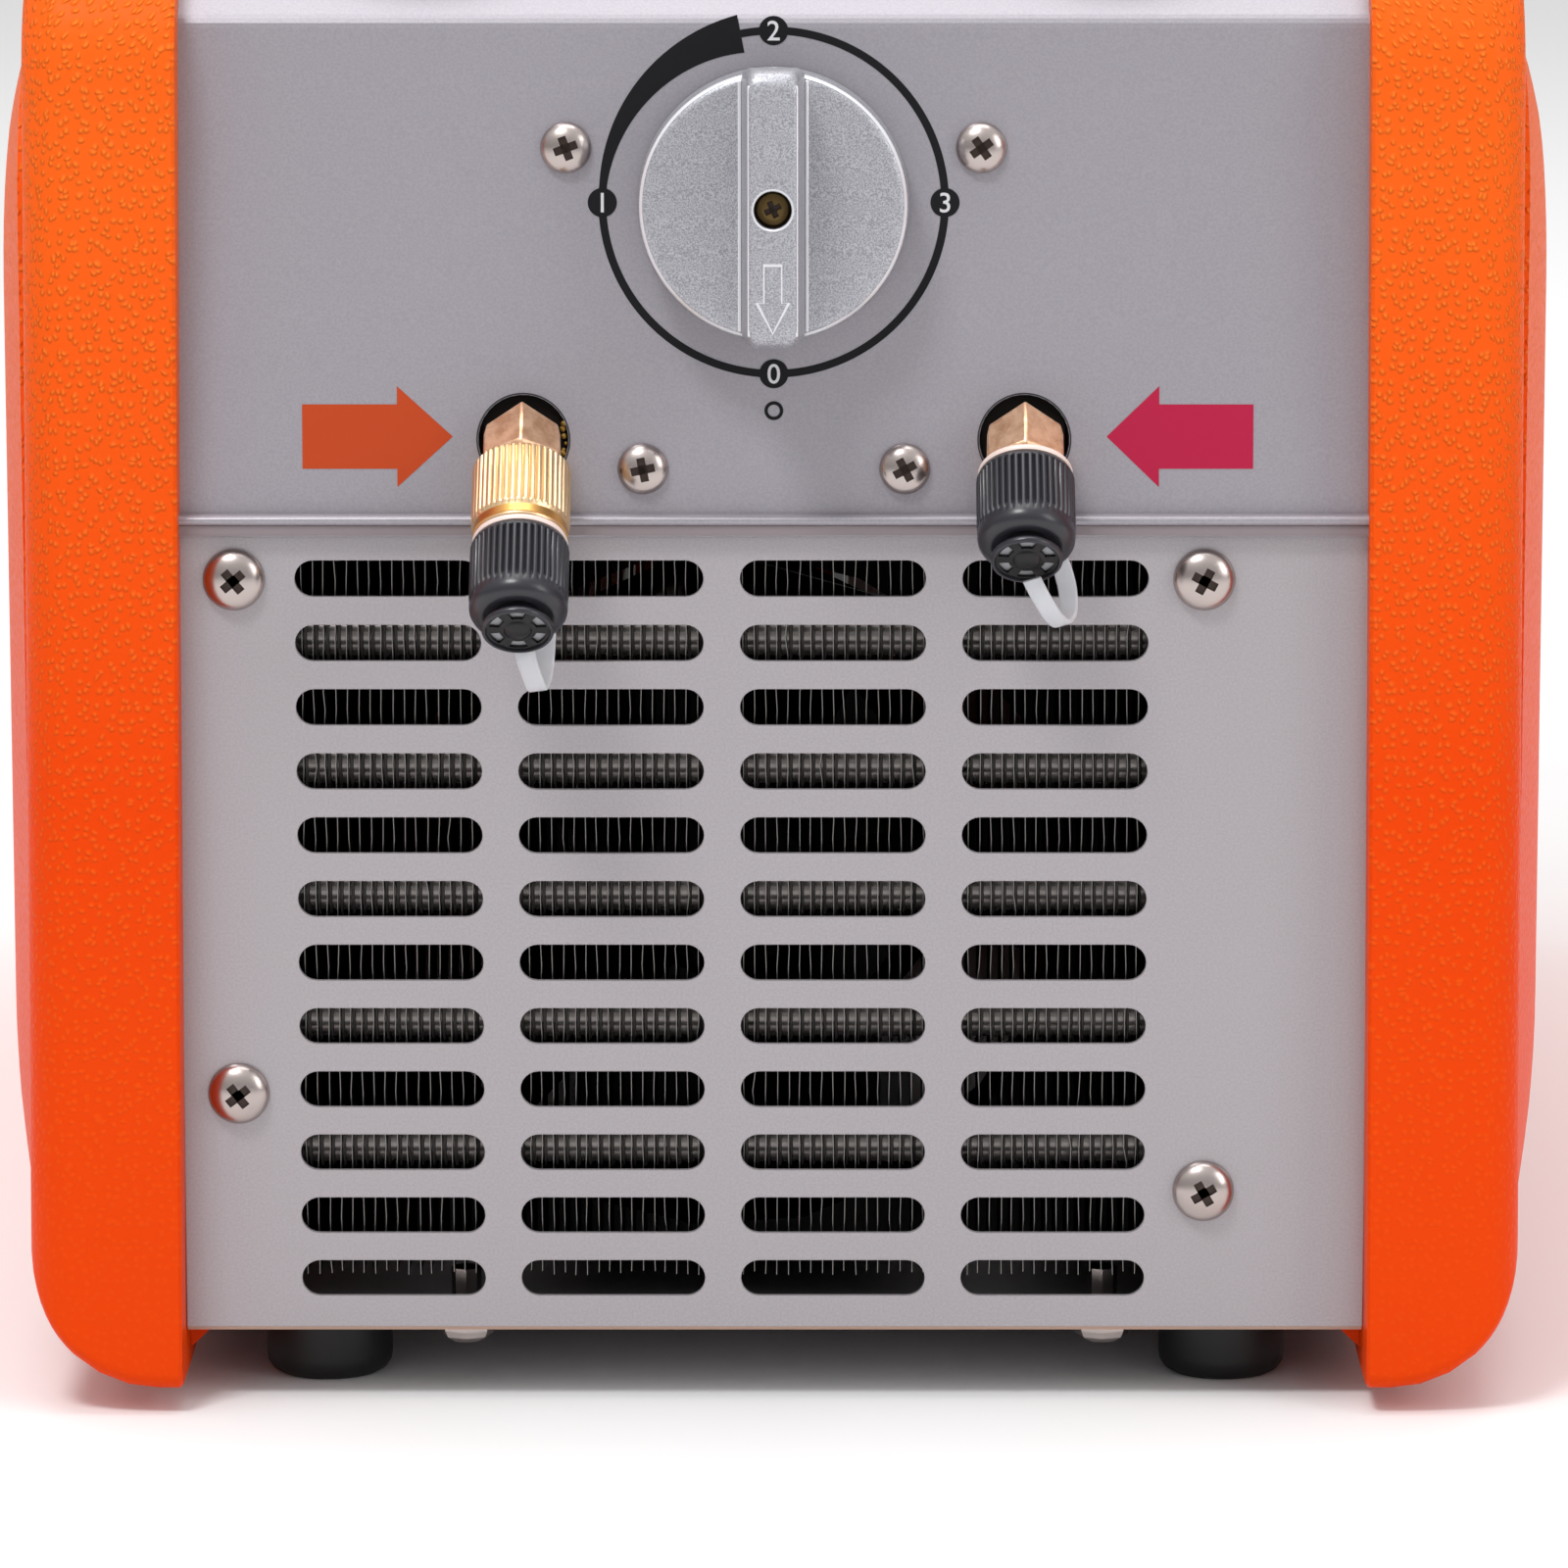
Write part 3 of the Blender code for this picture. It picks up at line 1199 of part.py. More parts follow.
def ports(frames, finishes):
    inlet = frames["inlet_port"]
    outlet = frames["outlet_port"]
    brass, black, white = finishes["brass"], finishes["black_plastic"], finishes["tether"]
    trim_behind_panel(hex_elbow("inlet_elbow", inlet, INLET_HEX_LENGTH, brass), -1)
    trim_behind_panel(hex_elbow("outlet_elbow", outlet, OUTLET_HEX_LENGTH, brass), 1)
    coupler_end = filter_coupler(inlet, brass)
    ring = coupler_end + CLEARANCE
    cap_start = ring + TETHER_RING + CLEARANCE
    knurled_cap("inlet_cap", cap_start, inlet, black)
    tether("inlet_tether", ring, cap_start + CAP_LENGTH, INLET_STRAP_BULGE, INLET_STRAP_ANGLE, inlet, white)
    ring = OUTLET_HEX_LENGTH + CLEARANCE
    cap_start = ring + TETHER_RING + CLEARANCE
    cap_end = cap_start + CAP_LENGTH
    knurled_cap("outlet_cap", cap_start, outlet, black)
    tether("outlet_tether", ring, cap_end, OUTLET_STRAP_BULGE, OUTLET_STRAP_ANGLE, outlet, white)


# Gauges
def gauge(prefix, frame, finishes):
    seat = GAUGE_SEAT_RADIUS
    dial_z = -GAUGE_DIAL_DEPTH
    spindle = 1 * MM
    lens_seat = GAUGE_BEZEL_HEIGHT - 2.5 * MM
    lip = GAUGE_BEZEL_RADIUS - 3.2 * MM
    case = [
        (0, dial_z - 5 * MM),
        (spindle + CLEARANCE, dial_z - 5 * MM),
        (spindle + CLEARANCE, dial_z),
        (seat, dial_z),
        (seat, lens_seat),
        (lip, lens_seat),
        (lip, GAUGE_BEZEL_HEIGHT),
        (GAUGE_BEZEL_RADIUS - 1 * MM, GAUGE_BEZEL_HEIGHT),
        (GAUGE_BEZEL_RADIUS, GAUGE_BEZEL_HEIGHT - 1.2 * MM),
        (GAUGE_BEZEL_RADIUS, CLEARANCE),
        (GAUGE_CASE_RADIUS, CLEARANCE),
        (GAUGE_CASE_RADIUS, -GAUGE_DEPTH),
        (0, -GAUGE_DEPTH),
    ]
    piece(f"{prefix}_gauge_case", turned(case, ROUND_STEPS), finishes["black_plastic"], frame)
    dial_low = dial_z + CLEARANCE
    dial_high = dial_low + 0.8 * MM
    rim = seat - CLEARANCE
    dial = [
        (spindle + CLEARANCE, dial_high),
        (rim, dial_high),
        (rim, dial_low),
        (spindle + CLEARANCE, dial_low),
    ]
    piece(f"{prefix}_gauge_dial", turned(dial, ROUND_STEPS, hollow=True), finishes["dial_white"], frame)
    lens_low = lens_seat + CLEARANCE
    lens_rim = lip - CLEARANCE
    lens = [
        (0, GAUGE_BEZEL_HEIGHT + 1 * MM),
        (0.6 * lens_rim, GAUGE_BEZEL_HEIGHT + 0.6 * MM),
        (lens_rim, GAUGE_BEZEL_HEIGHT - 0.6 * MM),
        (lens_rim, lens_low),
        (0, lens_low),
    ]
    piece(f"{prefix}_gauge_lens", turned(lens, ROUND_STEPS), finishes["lens"], frame)
    pivot = datum(f"{prefix}_needle_axis", (0, 0, 0), (0, 0, 0))
    pivot.parent = frame
    hub_low = dial_high + CLEARANCE
    hub = [
        (0, hub_low + 2 * MM),
        (2.4 * MM, hub_low + 1.6 * MM),
        (2.4 * MM, hub_low),
        (spindle, hub_low),
        (spindle, dial_z - 4 * MM),
        (0, dial_z - 4 * MM),
    ]
    needle = piece(f"{prefix}_gauge_needle", turned(hub, SMALL_STEPS), finishes["needle_red"], pivot)
    tail = -0.3 * NEEDLE_LENGTH
    outline = [(-1.1 * MM, tail), (1.1 * MM, tail), (0.3 * MM, NEEDLE_LENGTH), (-0.3 * MM, NEEDLE_LENGTH)]
    arm = prism(outline, hub_low + 0.4 * MM, hub_low + 1.1 * MM, "Z")
    add(needle, moved(arm, rotation=Matrix.Rotation(-NEEDLE_ZERO, 4, "Z")), pivot)


# Power switch
def power_switch(frame, finishes):
    flange_width, flange_height, flange_top = SWITCH_FLANGE
    body_width, body_height, body_depth = SWITCH_BODY
    cavity_width, cavity_height = SWITCH_CAVITY
    corner = 2 * MM
    outline = rounded_outline(box_outline(flange_width, flange_height), [corner] * 4, 3)
    top = CLEARANCE + flange_top
    body = piece("power_switch_body", prism(outline, CLEARANCE, top, "Z"), finishes["black_plastic"], frame)
    add(body, prism(box_outline(body_width, body_height), -body_depth, 0.5 * top, "Z"), frame)
    floor = -7.5 * MM
    cut(body, prism(box_outline(cavity_width, cavity_height), floor, top + 1 * MM, "Z"), frame)
    axle = datum("power_rocker_axis", (0, 0, 0), (ROCKER_HALF_TRAVEL, 0, 0))
    axle.parent = frame
    half = 0.5 * cavity_height - 1 * MM
    crest = 5 * MM
    outline = [
        (0.8 * MM - half, -4 * MM),
        (half - 0.8 * MM, -4 * MM),
        (half, crest),
        (0, crest - 1.6 * MM),
        (-half, crest),
    ]
    width = 0.5 * cavity_width - CLEARANCE
    piece("power_switch_rocker", prism(outline, -width, width, "X"), finishes["red_plastic"], axle)


# Rear fittings
def power_inlet(frame, finish):
    """Three-pin appliance inlet: flange, body, open cavity and its pins."""
    flange_width, flange_height, flange_top = INLET_FLANGE
    body_width, body_height, body_depth = INLET_BODY
    cavity_width, cavity_height, cavity_depth = INLET_CAVITY
    end_radius = 0.45 * flange_height
    flange = rounded_outline(box_outline(flange_width, flange_height), [end_radius] * 4, 4)
    top = CLEARANCE + flange_top
    body = piece("power_inlet", prism(flange, CLEARANCE, top, "Z"), finish, frame)
    add(body, prism(box_outline(body_width, body_height), -body_depth, 0.5 * top, "Z"), frame)
    floor = top - cavity_depth
    half_width, half_height, bevel = 0.5 * cavity_width, 0.5 * cavity_height, 4.5 * MM
    mouth = [
        (-half_width, -half_height),
        (half_width, -half_height),
        (half_width, half_height - bevel),
        (half_width - bevel, half_height),
        (bevel - half_width, half_height),
        (-half_width, half_height - bevel),
    ]
    cut(body, prism(mouth, floor, top + 1 * MM, "Z"), frame)
    pins = []
    for across, up in ((-7 * MM, -1.5 * MM), (0, 2.5 * MM), (7 * MM, -1.5 * MM)):
        pins.append(prism(box_outline(2 * MM, 4 * MM, (across, up)), floor - 1 * MM, top - 5 * MM, "Z"))
    add(body, joined(pins), frame)


def breaker(frame, finishes):
    """Reset breaker: a body inside, a threaded neck through the sheet, and a push button."""
    neck_top = 5 * MM
    bore = BUTTON_RADIUS + CLEARANCE
    bore_floor = -8 * MM
    inner_face = -(SHEET + CLEARANCE)
    black = finishes["black_plastic"]
    width, height, depth = BREAKER_BODY
    body = piece("breaker_body", prism(box_outline(width, height), -depth, inner_face, "Z"), black, frame)
    neck = [
        (0, neck_top),
        (BREAKER_NECK_RADIUS, neck_top),
        (BREAKER_NECK_RADIUS, inner_face - 1 * MM),
        (0, inner_face - 1 * MM),
    ]
    add(body, turned(neck, MEDIUM_STEPS), frame, "MANIFOLD")
    beyond = neck_top + 1 * MM
    well = [(0, beyond), (bore, beyond), (bore, bore_floor), (0, bore_floor)]
    cut(body, coaxial(well, MEDIUM_STEPS), frame, "MANIFOLD")
    nut = ring_outline(8 * MM, 6)
    collar = piece("breaker_nut", prism(nut, CLEARANCE, 3 * MM, "Z"), finishes["steel"], frame)
    cut(collar, hole(BREAKER_NECK_RADIUS + CLEARANCE, 5 * MM, MEDIUM_STEPS), frame)
    button_top = neck_top + 4 * MM
    button = [
        (0, button_top),
        (BUTTON_RADIUS - 0.6 * MM, button_top),
        (BUTTON_RADIUS, button_top - 0.6 * MM),
        (BUTTON_RADIUS, neck_top - 9 * MM),
        (0, neck_top - 9 * MM),
    ]
    piece("breaker_button", turned(button, MEDIUM_STEPS), finishes["red_plastic"], frame)


# Condenser, fan, motor and compressor
def condenser(finish):
    """Fin-and-tube core: end plates with screw flanges, upright fins and level tubes."""
    front, back = CORE_FRONT_Y, CORE_BACK_Y
    flange_front = PANEL_Y + SHEET + CLEARANCE
    flange_low = PAN_Z + SHEET + PAN_WALL + CLEARANCE

    def end_plate(across, side):
        inner, outer = across, across + side * END_PLATE
        tip = across + side * END_FLANGE
        outline = [
            (inner, flange_front),
            (tip, flange_front),
            (tip, flange_front + END_PLATE),
            (outer, flange_front + END_PLATE),
            (outer, back),
            (inner, back),
        ]
        return prism(outline, flange_low, CORE_TOP_Z, "Z")

    core = piece("condenser", end_plate(CORE_LEFT_X, -1), finish)
    add(core, end_plate(CORE_RIGHT_X, 1), solver="MANIFOLD")
    pitch = (CORE_RIGHT_X - CORE_LEFT_X) / (FIN_COUNT + 1)
    fins = []
    for number in range(1, FIN_COUNT + 1):
        across = CORE_LEFT_X + number * pitch
        low = (across - 0.5 * FIN_THICKNESS, front, CORE_BOTTOM_Z)
        high = (across + 0.5 * FIN_THICKNESS, back, CORE_TOP_Z)
        fins.append(cuboid(low, high))
    tubes = []
    first_tube = SLOT_TOP_ROW_Z - SLOT_PITCH_Z
    for number in range(SLOT_ROWS // 2 - 1):
        height = first_tube - 2 * number * SLOT_PITCH_Z
        outline = [
            (front + 0.5 * CORE_DEPTH + y, height + z) for y, z in ring_outline(TUBE_RADIUS, 6)
        ]
        reach = END_PLATE + 1.5 * MM
        tubes.append(prism(outline, CORE_LEFT_X - reach, CORE_RIGHT_X + reach, "X"))
    add(core, joined(tubes), solver="MANIFOLD")
    add(core, joined(fins), solver="MANIFOLD")
    bores = []
    for across, height in GRILLE_SCREWS:
        bore = hole(M5_SCREW[2] + SCREW_PLAY, M5_SCREW[3] + CLEARANCE)
        turn = Matrix.Rotation(math.pi / 2, 4, "X")
        bores.append(moved(bore, (across * MM, PANEL_Y, height * MM), turn))
    cut(core, joined(bores), solver="MANIFOLD")


def fan_shroud(finish):
    frame = datum("fan_axis", (DRIVE_X, SHROUD_Y, DRIVE_Z), ALONG_REARWARD)
    half = 0.5 * (CORE_RIGHT_X - CORE_LEFT_X)
    below = DRIVE_Z - CORE_BOTTOM_Z
    above = CORE_TOP_Z - DRIVE_Z
    plate = [(-half, -above), (half, -above), (half, below), (-half, below)]
    shroud = piece("fan_shroud", prism(plate, 0, 1.5 * SHEET, "Z"), finish, frame)
    duct = FAN_RADIUS + 2 * MM
    ring = [(0, 0), (duct + 1.5 * SHEET, 0), (duct + 1.5 * SHEET, SHROUD_DEPTH), (0, SHROUD_DEPTH)]
    add(shroud, turned(ring[::-1], ROUND_STEPS), frame, "MANIFOLD")
    beyond = 2 * SHROUD_DEPTH
    opening = [(0, beyond), (duct, beyond), (duct, -beyond), (0, -beyond)]
    cut(shroud, coaxial(opening, ROUND_STEPS), frame, "MANIFOLD")
    return frame


def fan(finish):
    """Hub, twisted blades and the shaft that reaches into the motor."""
    frame = datum("fan_rotor_axis", (DRIVE_X, FAN_Y, DRIVE_Z), ALONG_REARWARD)
    hub_half = FAN_HUB_HALF
    shaft_end = MOTOR_Y - FAN_Y + SHAFT_IN_MOTOR
    hub = [
        (0, shaft_end),
        (SHAFT_RADIUS, shaft_end),
        (SHAFT_RADIUS, hub_half),
        (FAN_HUB_RADIUS, hub_half),
        (FAN_HUB_RADIUS, 2 * MM - hub_half),
        (FAN_HUB_RADIUS - 2 * MM, -hub_half),
        (0, -hub_half),
    ]
    rotor = piece("fan_rotor", turned(hub, MEDIUM_STEPS), finish, frame)
    blades = []
    for number in range(FAN_BLADES):
        turn = Matrix.Rotation(2 * math.pi * number / FAN_BLADES, 4, "Z")
        blades.append(moved(fan_blade(), rotation=turn))
    add(rotor, joined(blades), frame)


def fan_blade():
    """A blade that widens and flattens towards its tip."""
    rings = []
    half_thickness = 0.9 * MM
    for share in (0, 0.35, 0.7, 1):
        radius = FAN_HUB_RADIUS - 2 * MM + share * (FAN_RADIUS - FAN_HUB_RADIUS)
        pitch = math.radians(48 - 24 * share)
        half_chord = (8 + 6 * share) * MM
        ring = []
        for chord, thick in ((-1, -1), (1, -1), (1, 1), (-1, 1)):
            along = chord * half_chord
            across = thick * half_thickness
            side = along * math.cos(pitch) - across * math.sin(pitch)
            depth = along * math.sin(pitch) + across * math.cos(pitch)
            ring.append((radius, side, 0.6 * depth))
        rings.append(ring)
    return loft(rings)


def motor(finish):
    frame = datum("motor_axis", (DRIVE_X, MOTOR_Y, DRIVE_Z), ALONG_REARWARD)
    bell = 14 * MM
    boss = 12 * MM
    bore = SHAFT_RADIUS + CLEARANCE
    bore_end = SHAFT_IN_MOTOR + 2 * MM
    profile = [
        (0, MOTOR_LENGTH),
        (MOTOR_RADIUS - 6 * MM, MOTOR_LENGTH),
        (MOTOR_RADIUS, MOTOR_LENGTH - bell),
        (MOTOR_RADIUS - 3 * MM, MOTOR_LENGTH - bell),
        (MOTOR_RADIUS - 3 * MM, bell),
        (MOTOR_RADIUS, bell),
        (MOTOR_RADIUS - 6 * MM, 3 * MM),
        (boss, 3 * MM),
        (boss, 0),
        (bore, 0),
        (bore, bore_end),
        (0, bore_end),
    ]
    piece("motor", turned(profile, MEDIUM_STEPS), finish, frame)


def cylinder_places():
    spread = 0.5 * CRANKCASE_LENGTH - CYLINDER_RADIUS - 2 * MM
    middle = CRANKCASE_Y + 0.5 * CRANKCASE_LENGTH
    return (middle - spread, middle + spread)


def compressor(finish):
    """Crankcase along the drive axis with two finned cylinders standing on it."""
    frame = datum("compressor_axis", (DRIVE_X, CRANKCASE_Y, DRIVE_Z), ALONG_REARWARD)
    rounding = 4 * MM
    case = [
        (0, CRANKCASE_LENGTH),
        (CRANKCASE_RADIUS - rounding, CRANKCASE_LENGTH),
        (CRANKCASE_RADIUS, CRANKCASE_LENGTH - rounding),
        (CRANKCASE_RADIUS, rounding),
        (CRANKCASE_RADIUS - rounding, 0),
        (0, 0),
    ]
    body = piece("compressor", turned(case, MEDIUM_STEPS), finish, frame)
    bottom = DRIVE_Z + 0.5 * CRANKCASE_RADIUS
    fin_base = DRIVE_Z + CRANKCASE_RADIUS + 3 * MM
    top = DRIVE_Z + CYLINDER_TOP
    fin_pitch = (top - 12 * MM - fin_base) / CYLINDER_FINS
    core_radius = CYLINDER_RADIUS - 5 * MM
    profile = [(0, bottom), (core_radius, bottom)]
    for number in range(CYLINDER_FINS):
        level = fin_base + number * fin_pitch
        profile += [
            (core_radius, level),
            (CYLINDER_RADIUS, level),
            (CYLINDER_RADIUS, level + 0.4 * fin_pitch),
            (core_radius, level + 0.4 * fin_pitch),
        ]
    head = top - 12 * MM
    profile += [(core_radius, head), (CYLINDER_RADIUS, head), (CYLINDER_RADIUS, top), (0, top)]
    for back in cylinder_places():
        cylinder = moved(turned(profile[::-1], SMALL_STEPS + 2), (DRIVE_X, back, 0))
        add(body, cylinder, solver="MANIFOLD")


def machine_bracket(finish):
    """A plate on the base pan with one saddle under the motor and one under the crankcase."""
    plate_low = PAN_Z + SHEET + CLEARANCE
    plate_high = plate_low + 3 * MM
    half = 0.8 * MOTOR_RADIUS
    front, back = MOTOR_Y, CRANKCASE_Y + CRANKCASE_LENGTH
    low = (DRIVE_X - half, front, plate_low)
    high = (DRIVE_X + half, back, plate_high)
    plate = piece("machine_bracket", cuboid(low, high), finish)
    motor_place = (MOTOR_RADIUS - 3 * MM, front + MOTOR_SADDLE)
    crankcase_place = (CRANKCASE_RADIUS, back - CRANKCASE_SADDLE)
    for radius, place in (motor_place, crankcase_place):
        low = (DRIVE_X - 0.7 * radius, place, plate_high - 1 * MM)
        high = (DRIVE_X + 0.7 * radius, place + SADDLE_WIDTH, DRIVE_Z - 0.6 * radius)
        block = piece(f"saddle_{round(place / MM)}", cuboid(low, high))
        block.hide_render = True
        block.display_type = "WIRE"
        outline = ring_outline((radius + CLEARANCE) / math.cos(math.pi / ROUND_STEPS), ROUND_STEPS)
        groove = prism(outline, place - SADDLE_WIDTH, place + 2 * SADDLE_WIDTH, "Y")
        cut(block, moved(groove, (DRIVE_X, 0, DRIVE_Z)))
        modifier = plate.modifiers.new("Saddle", "BOOLEAN")
        modifier.operation = "UNION"
        modifier.solver = "EXACT"
        modifier.object = block


def capacitor(finish):
    low = PAN_Z + SHEET + CLEARANCE
    rounding = 2 * MM
    profile = [
        (0, low + CAPACITOR_HEIGHT),
        (CAPACITOR_RADIUS - rounding, low + CAPACITOR_HEIGHT),
        (CAPACITOR_RADIUS, low + CAPACITOR_HEIGHT - rounding),
        (CAPACITOR_RADIUS, low),
        (0, low),
    ]
    can = piece("capacitor", turned(profile, MEDIUM_STEPS), finish)
    can.location = (DRIVE_X + MOTOR_RADIUS + CAPACITOR_RADIUS + 12 * MM, CRANKCASE_Y, 0)


def pipe(name, corners, bend, finish):
    """A bent copper pipe: straight runs and round bends, as a tube bender makes it."""
    curve = bpy.data.curves.new(name, "CURVE")
    curve.dimensions = "3D"
    curve.bevel_depth = PIPE_RADIUS
    curve.bevel_resolution = 1
    curve.use_fill_caps = True
    points = [Vector(corners[0])]
    for index in range(1, len(corners) - 1):
        here = Vector(corners[index])
        before = (Vector(corners[index - 1]) - here).normalized()
        after = (Vector(corners[index + 1]) - here).normalized()
        points += corner_arc(here, before, after, bend, 3)
    points.append(Vector(corners[-1]))
    spline = curve.splines.new("POLY")
    spline.points.add(len(points) - 1)
    for target, point in zip(spline.points, points):
        target.co = (*point, 1)
    curve.materials.append(finish)
    made = bpy.data.objects.new(name, curve)
    bpy.context.scene.collection.objects.link(made)
    return made


def pipes(finish):
    first, second = cylinder_places()
    head_z = DRIVE_Z + CYLINDER_TOP
    above_heads = head_z + PIPE_OVER_HEADS
    block_back = panel_point(KNOB_Z)[1] + SHEET + BLOCK_DEPTH + 2 * CLEARANCE
    suction_z = KNOB_Z - SUCTION_BELOW_KNOB
    lean_drop = (KNOB_Z - suction_z) * math.tan(PANEL_LEAN)
    suction_x = DRIVE_X - SUCTION_SIDE
    pipe(
        "suction_pipe",
        [
            (suction_x, block_back + CLEARANCE - lean_drop + 0.2 * MM, suction_z),
            (suction_x, first, suction_z),
            (suction_x, first, head_z + CLEARANCE),
        ],
        PIPE_BEND,
        finish,
    )
    tube_y = CORE_FRONT_Y + 0.5 * CORE_DEPTH
    stub_x = CORE_RIGHT_X + END_PLATE + 1.5 * MM + CLEARANCE
    side_x = CORE_RIGHT_X + PIPE_BESIDE_CORE
    top_tube = SLOT_TOP_ROW_Z - SLOT_PITCH_Z
    pipe(
        "discharge_pipe",
        [
            (stub_x, tube_y, top_tube),
            (side_x, tube_y, top_tube),
            (side_x, second, top_tube),
            (side_x, second, above_heads),
            (DRIVE_X, second, above_heads),
            (DRIVE_X, second, head_z + CLEARANCE),
        ],
        0.7 * PIPE_BEND,
        finish,
    )
    low_tube = SLOT_TOP_ROW_Z - (SLOT_ROWS - 3) * SLOT_PITCH_Z
    return_z = KNOB_Z - RETURN_BELOW_KNOB
    block_side = BLOCK_HALF_WIDTH + CLEARANCE
    outer_x = side_x + 3 * PIPE_RADIUS
    pipe(
        "condenser_pipe",
        [
            (stub_x, tube_y, low_tube),
            (outer_x, tube_y, low_tube),
            (outer_x, tube_y, return_z),
            (block_side, tube_y, return_z),
        ],
        0.7 * PIPE_BEND,
        finish,
    )


def make_frames():
    knob = datum("selector_axis", panel_point(KNOB_Z), OUT_OF_PANEL)
    frames = {"knob": knob}
    for key, side in (("low_gauge", -1), ("high_gauge", 1)):
        frames[key] = datum(f"{key}_face", slope_point(side * GAUGE_X, GAUGE_UP_SLOPE), OUT_OF_SLOPE)
    frames["switch"] = datum("switch_face", slope_point(0, GAUGE_UP_SLOPE), OUT_OF_SLOPE)
    frames["inlet"] = datum("power_inlet_face", (INLET_X, REAR_Y, INLET_Z), OUT_OF_REAR)
    frames["breaker"] = datum("breaker_face", (BREAKER_X, REAR_Y, INLET_Z), OUT_OF_REAR)
    for key, side in (("inlet_port", -1), ("outlet_port", 1)):
        place = Vector(panel_point(PORT_Z)) + Vector((side * PORT_X, -PORT_STANDOFF, PORT_RISE))
        frames[key] = datum(f"{key}_axis", place, OUT_OF_PORT)
    return frames


def main():
    clear_scene()
    finishes = make_materials()
    frames = make_frames()
    sheet_finish = finishes["painted_sheet"]
    base_pan(sheet_finish)
    front_grille(sheet_finish)
    cut_panel_holes(control_panel(sheet_finish), frames)
    rear_cover(sheet_finish, frames)
    side_cover("side_cover_left", -1, finishes["orange_plastic"])
    side_cover("side_cover_right", 1, finishes["orange_plastic"])
    handle(finishes)
    feet(finishes["rubber"])
    screws(frames, finishes["steel"])
    selector(frames, finishes)
    ports(frames, finishes)
    gauge("low", frames["low_gauge"], finishes)
    gauge("high", frames["high_gauge"], finishes)
    power_switch(frames["switch"], finishes)
    power_inlet(frames["inlet"], finishes["black_plastic"])
    breaker(frames["breaker"], finishes)
    condenser(finishes["aluminium"])
    fan_shroud(finishes["black_plastic"])
    fan(finishes["black_plastic"])
    motor(finishes["steel"])
    compressor(finishes["aluminium"])
    machine_bracket(finishes["steel"])
    capacitor(finishes["aluminium"])
    pipes(finishes["copper"])


main()
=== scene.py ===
"""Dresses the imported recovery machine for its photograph: fine pieces, finishes, light and camera."""

import math
import random

import bmesh
import bpy
from mathutils import Matrix, Vector


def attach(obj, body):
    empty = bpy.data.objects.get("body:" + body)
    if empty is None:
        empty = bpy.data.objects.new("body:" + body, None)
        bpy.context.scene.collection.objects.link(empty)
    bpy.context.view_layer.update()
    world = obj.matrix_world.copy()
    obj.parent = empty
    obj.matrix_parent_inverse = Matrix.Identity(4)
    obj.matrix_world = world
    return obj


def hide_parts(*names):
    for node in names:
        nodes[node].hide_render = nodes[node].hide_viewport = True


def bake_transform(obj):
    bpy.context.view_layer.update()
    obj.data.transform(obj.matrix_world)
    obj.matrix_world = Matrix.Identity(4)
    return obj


MM = 0.001
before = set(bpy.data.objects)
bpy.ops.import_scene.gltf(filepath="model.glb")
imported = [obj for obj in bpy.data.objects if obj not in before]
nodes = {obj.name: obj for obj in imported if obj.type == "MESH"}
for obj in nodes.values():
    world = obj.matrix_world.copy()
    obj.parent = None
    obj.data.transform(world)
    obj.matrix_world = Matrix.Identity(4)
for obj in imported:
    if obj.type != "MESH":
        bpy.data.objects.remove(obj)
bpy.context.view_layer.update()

# Places and sizes shared with the CAD model, in millimetres and degrees
PANEL_LEAN = 3
FRONT_Y = -180
REAR_Y = 200
KNOB_Y = -177.332
KNOB_Z = 193.5
PORT_X = 39.6
PORT_HOLE_Z = 156.1
PORT_SEAT = (-181.5925, 156.5)
PORT_TILT = 45
GAUGE_SEAT = (-144.622, 250.203)
GAUGE_TILT = 42
SHEET = 1.2
HEX_ACROSS = 12
PANEL_SCREWS = ((-32.7, 202.1), (32.7, 202.1), (-20.7, 151.5), (20.7, 151.5))
GRILLE_SCREWS = ((-85.6, 133.9), (68.2, 133.9), (-85.8, 50.7), (68.8, 34.7))
SLOT_X = (-61.25, -25.95, 9.35, 44.65)
SLOT_LENGTH = 29.5
SLOT_HEIGHT = 5.8
SLOT_TOP = 134.0
SLOT_PITCH = 10.34
SLOT_ROWS = 12
BODY_HALF = 94.7
COVER_FRONT = -190.0
COVER_BACK = 210.0
COVER_RIM = 119.2
COVER_HALF = 125.0
HANDLE_Y = 5.0
HANDLE_Z = 331.0


def turn_x(degrees):
    return Matrix.Rotation(math.radians(degrees), 4, "X")


def turn_y(degrees):
    return Matrix.Rotation(math.radians(degrees), 4, "Y")


def turn_z(degrees):
    return Matrix.Rotation(math.radians(degrees), 4, "Z")


def at(x, y, z):
    return Matrix.Translation((x * MM, y * MM, z * MM))


ON_PANEL = at(0, KNOB_Y, KNOB_Z) @ turn_x(90 - PANEL_LEAN)
ON_FRONT = at(0, FRONT_Y, 0) @ turn_x(90)
ON_REAR = at(0, REAR_Y, 0) @ turn_z(180) @ turn_x(90)
IN_PORT = at(-PORT_X, *PORT_SEAT) @ turn_x(90 + PORT_TILT)
OUT_PORT = at(PORT_X, *PORT_SEAT) @ turn_x(90 + PORT_TILT)
ALONG_X = turn_y(90)


def on_slope(x):
    """A frame on the sloping gauge panel, at this width."""
    return at(x, *GAUGE_SEAT) @ turn_x(GAUGE_TILT)


def on_panel(x, z):
    """A frame on the leaning control panel, at this width and height."""
    return ON_PANEL @ at(x, (z - KNOB_Z) / math.cos(math.radians(PANEL_LEAN)), 0)


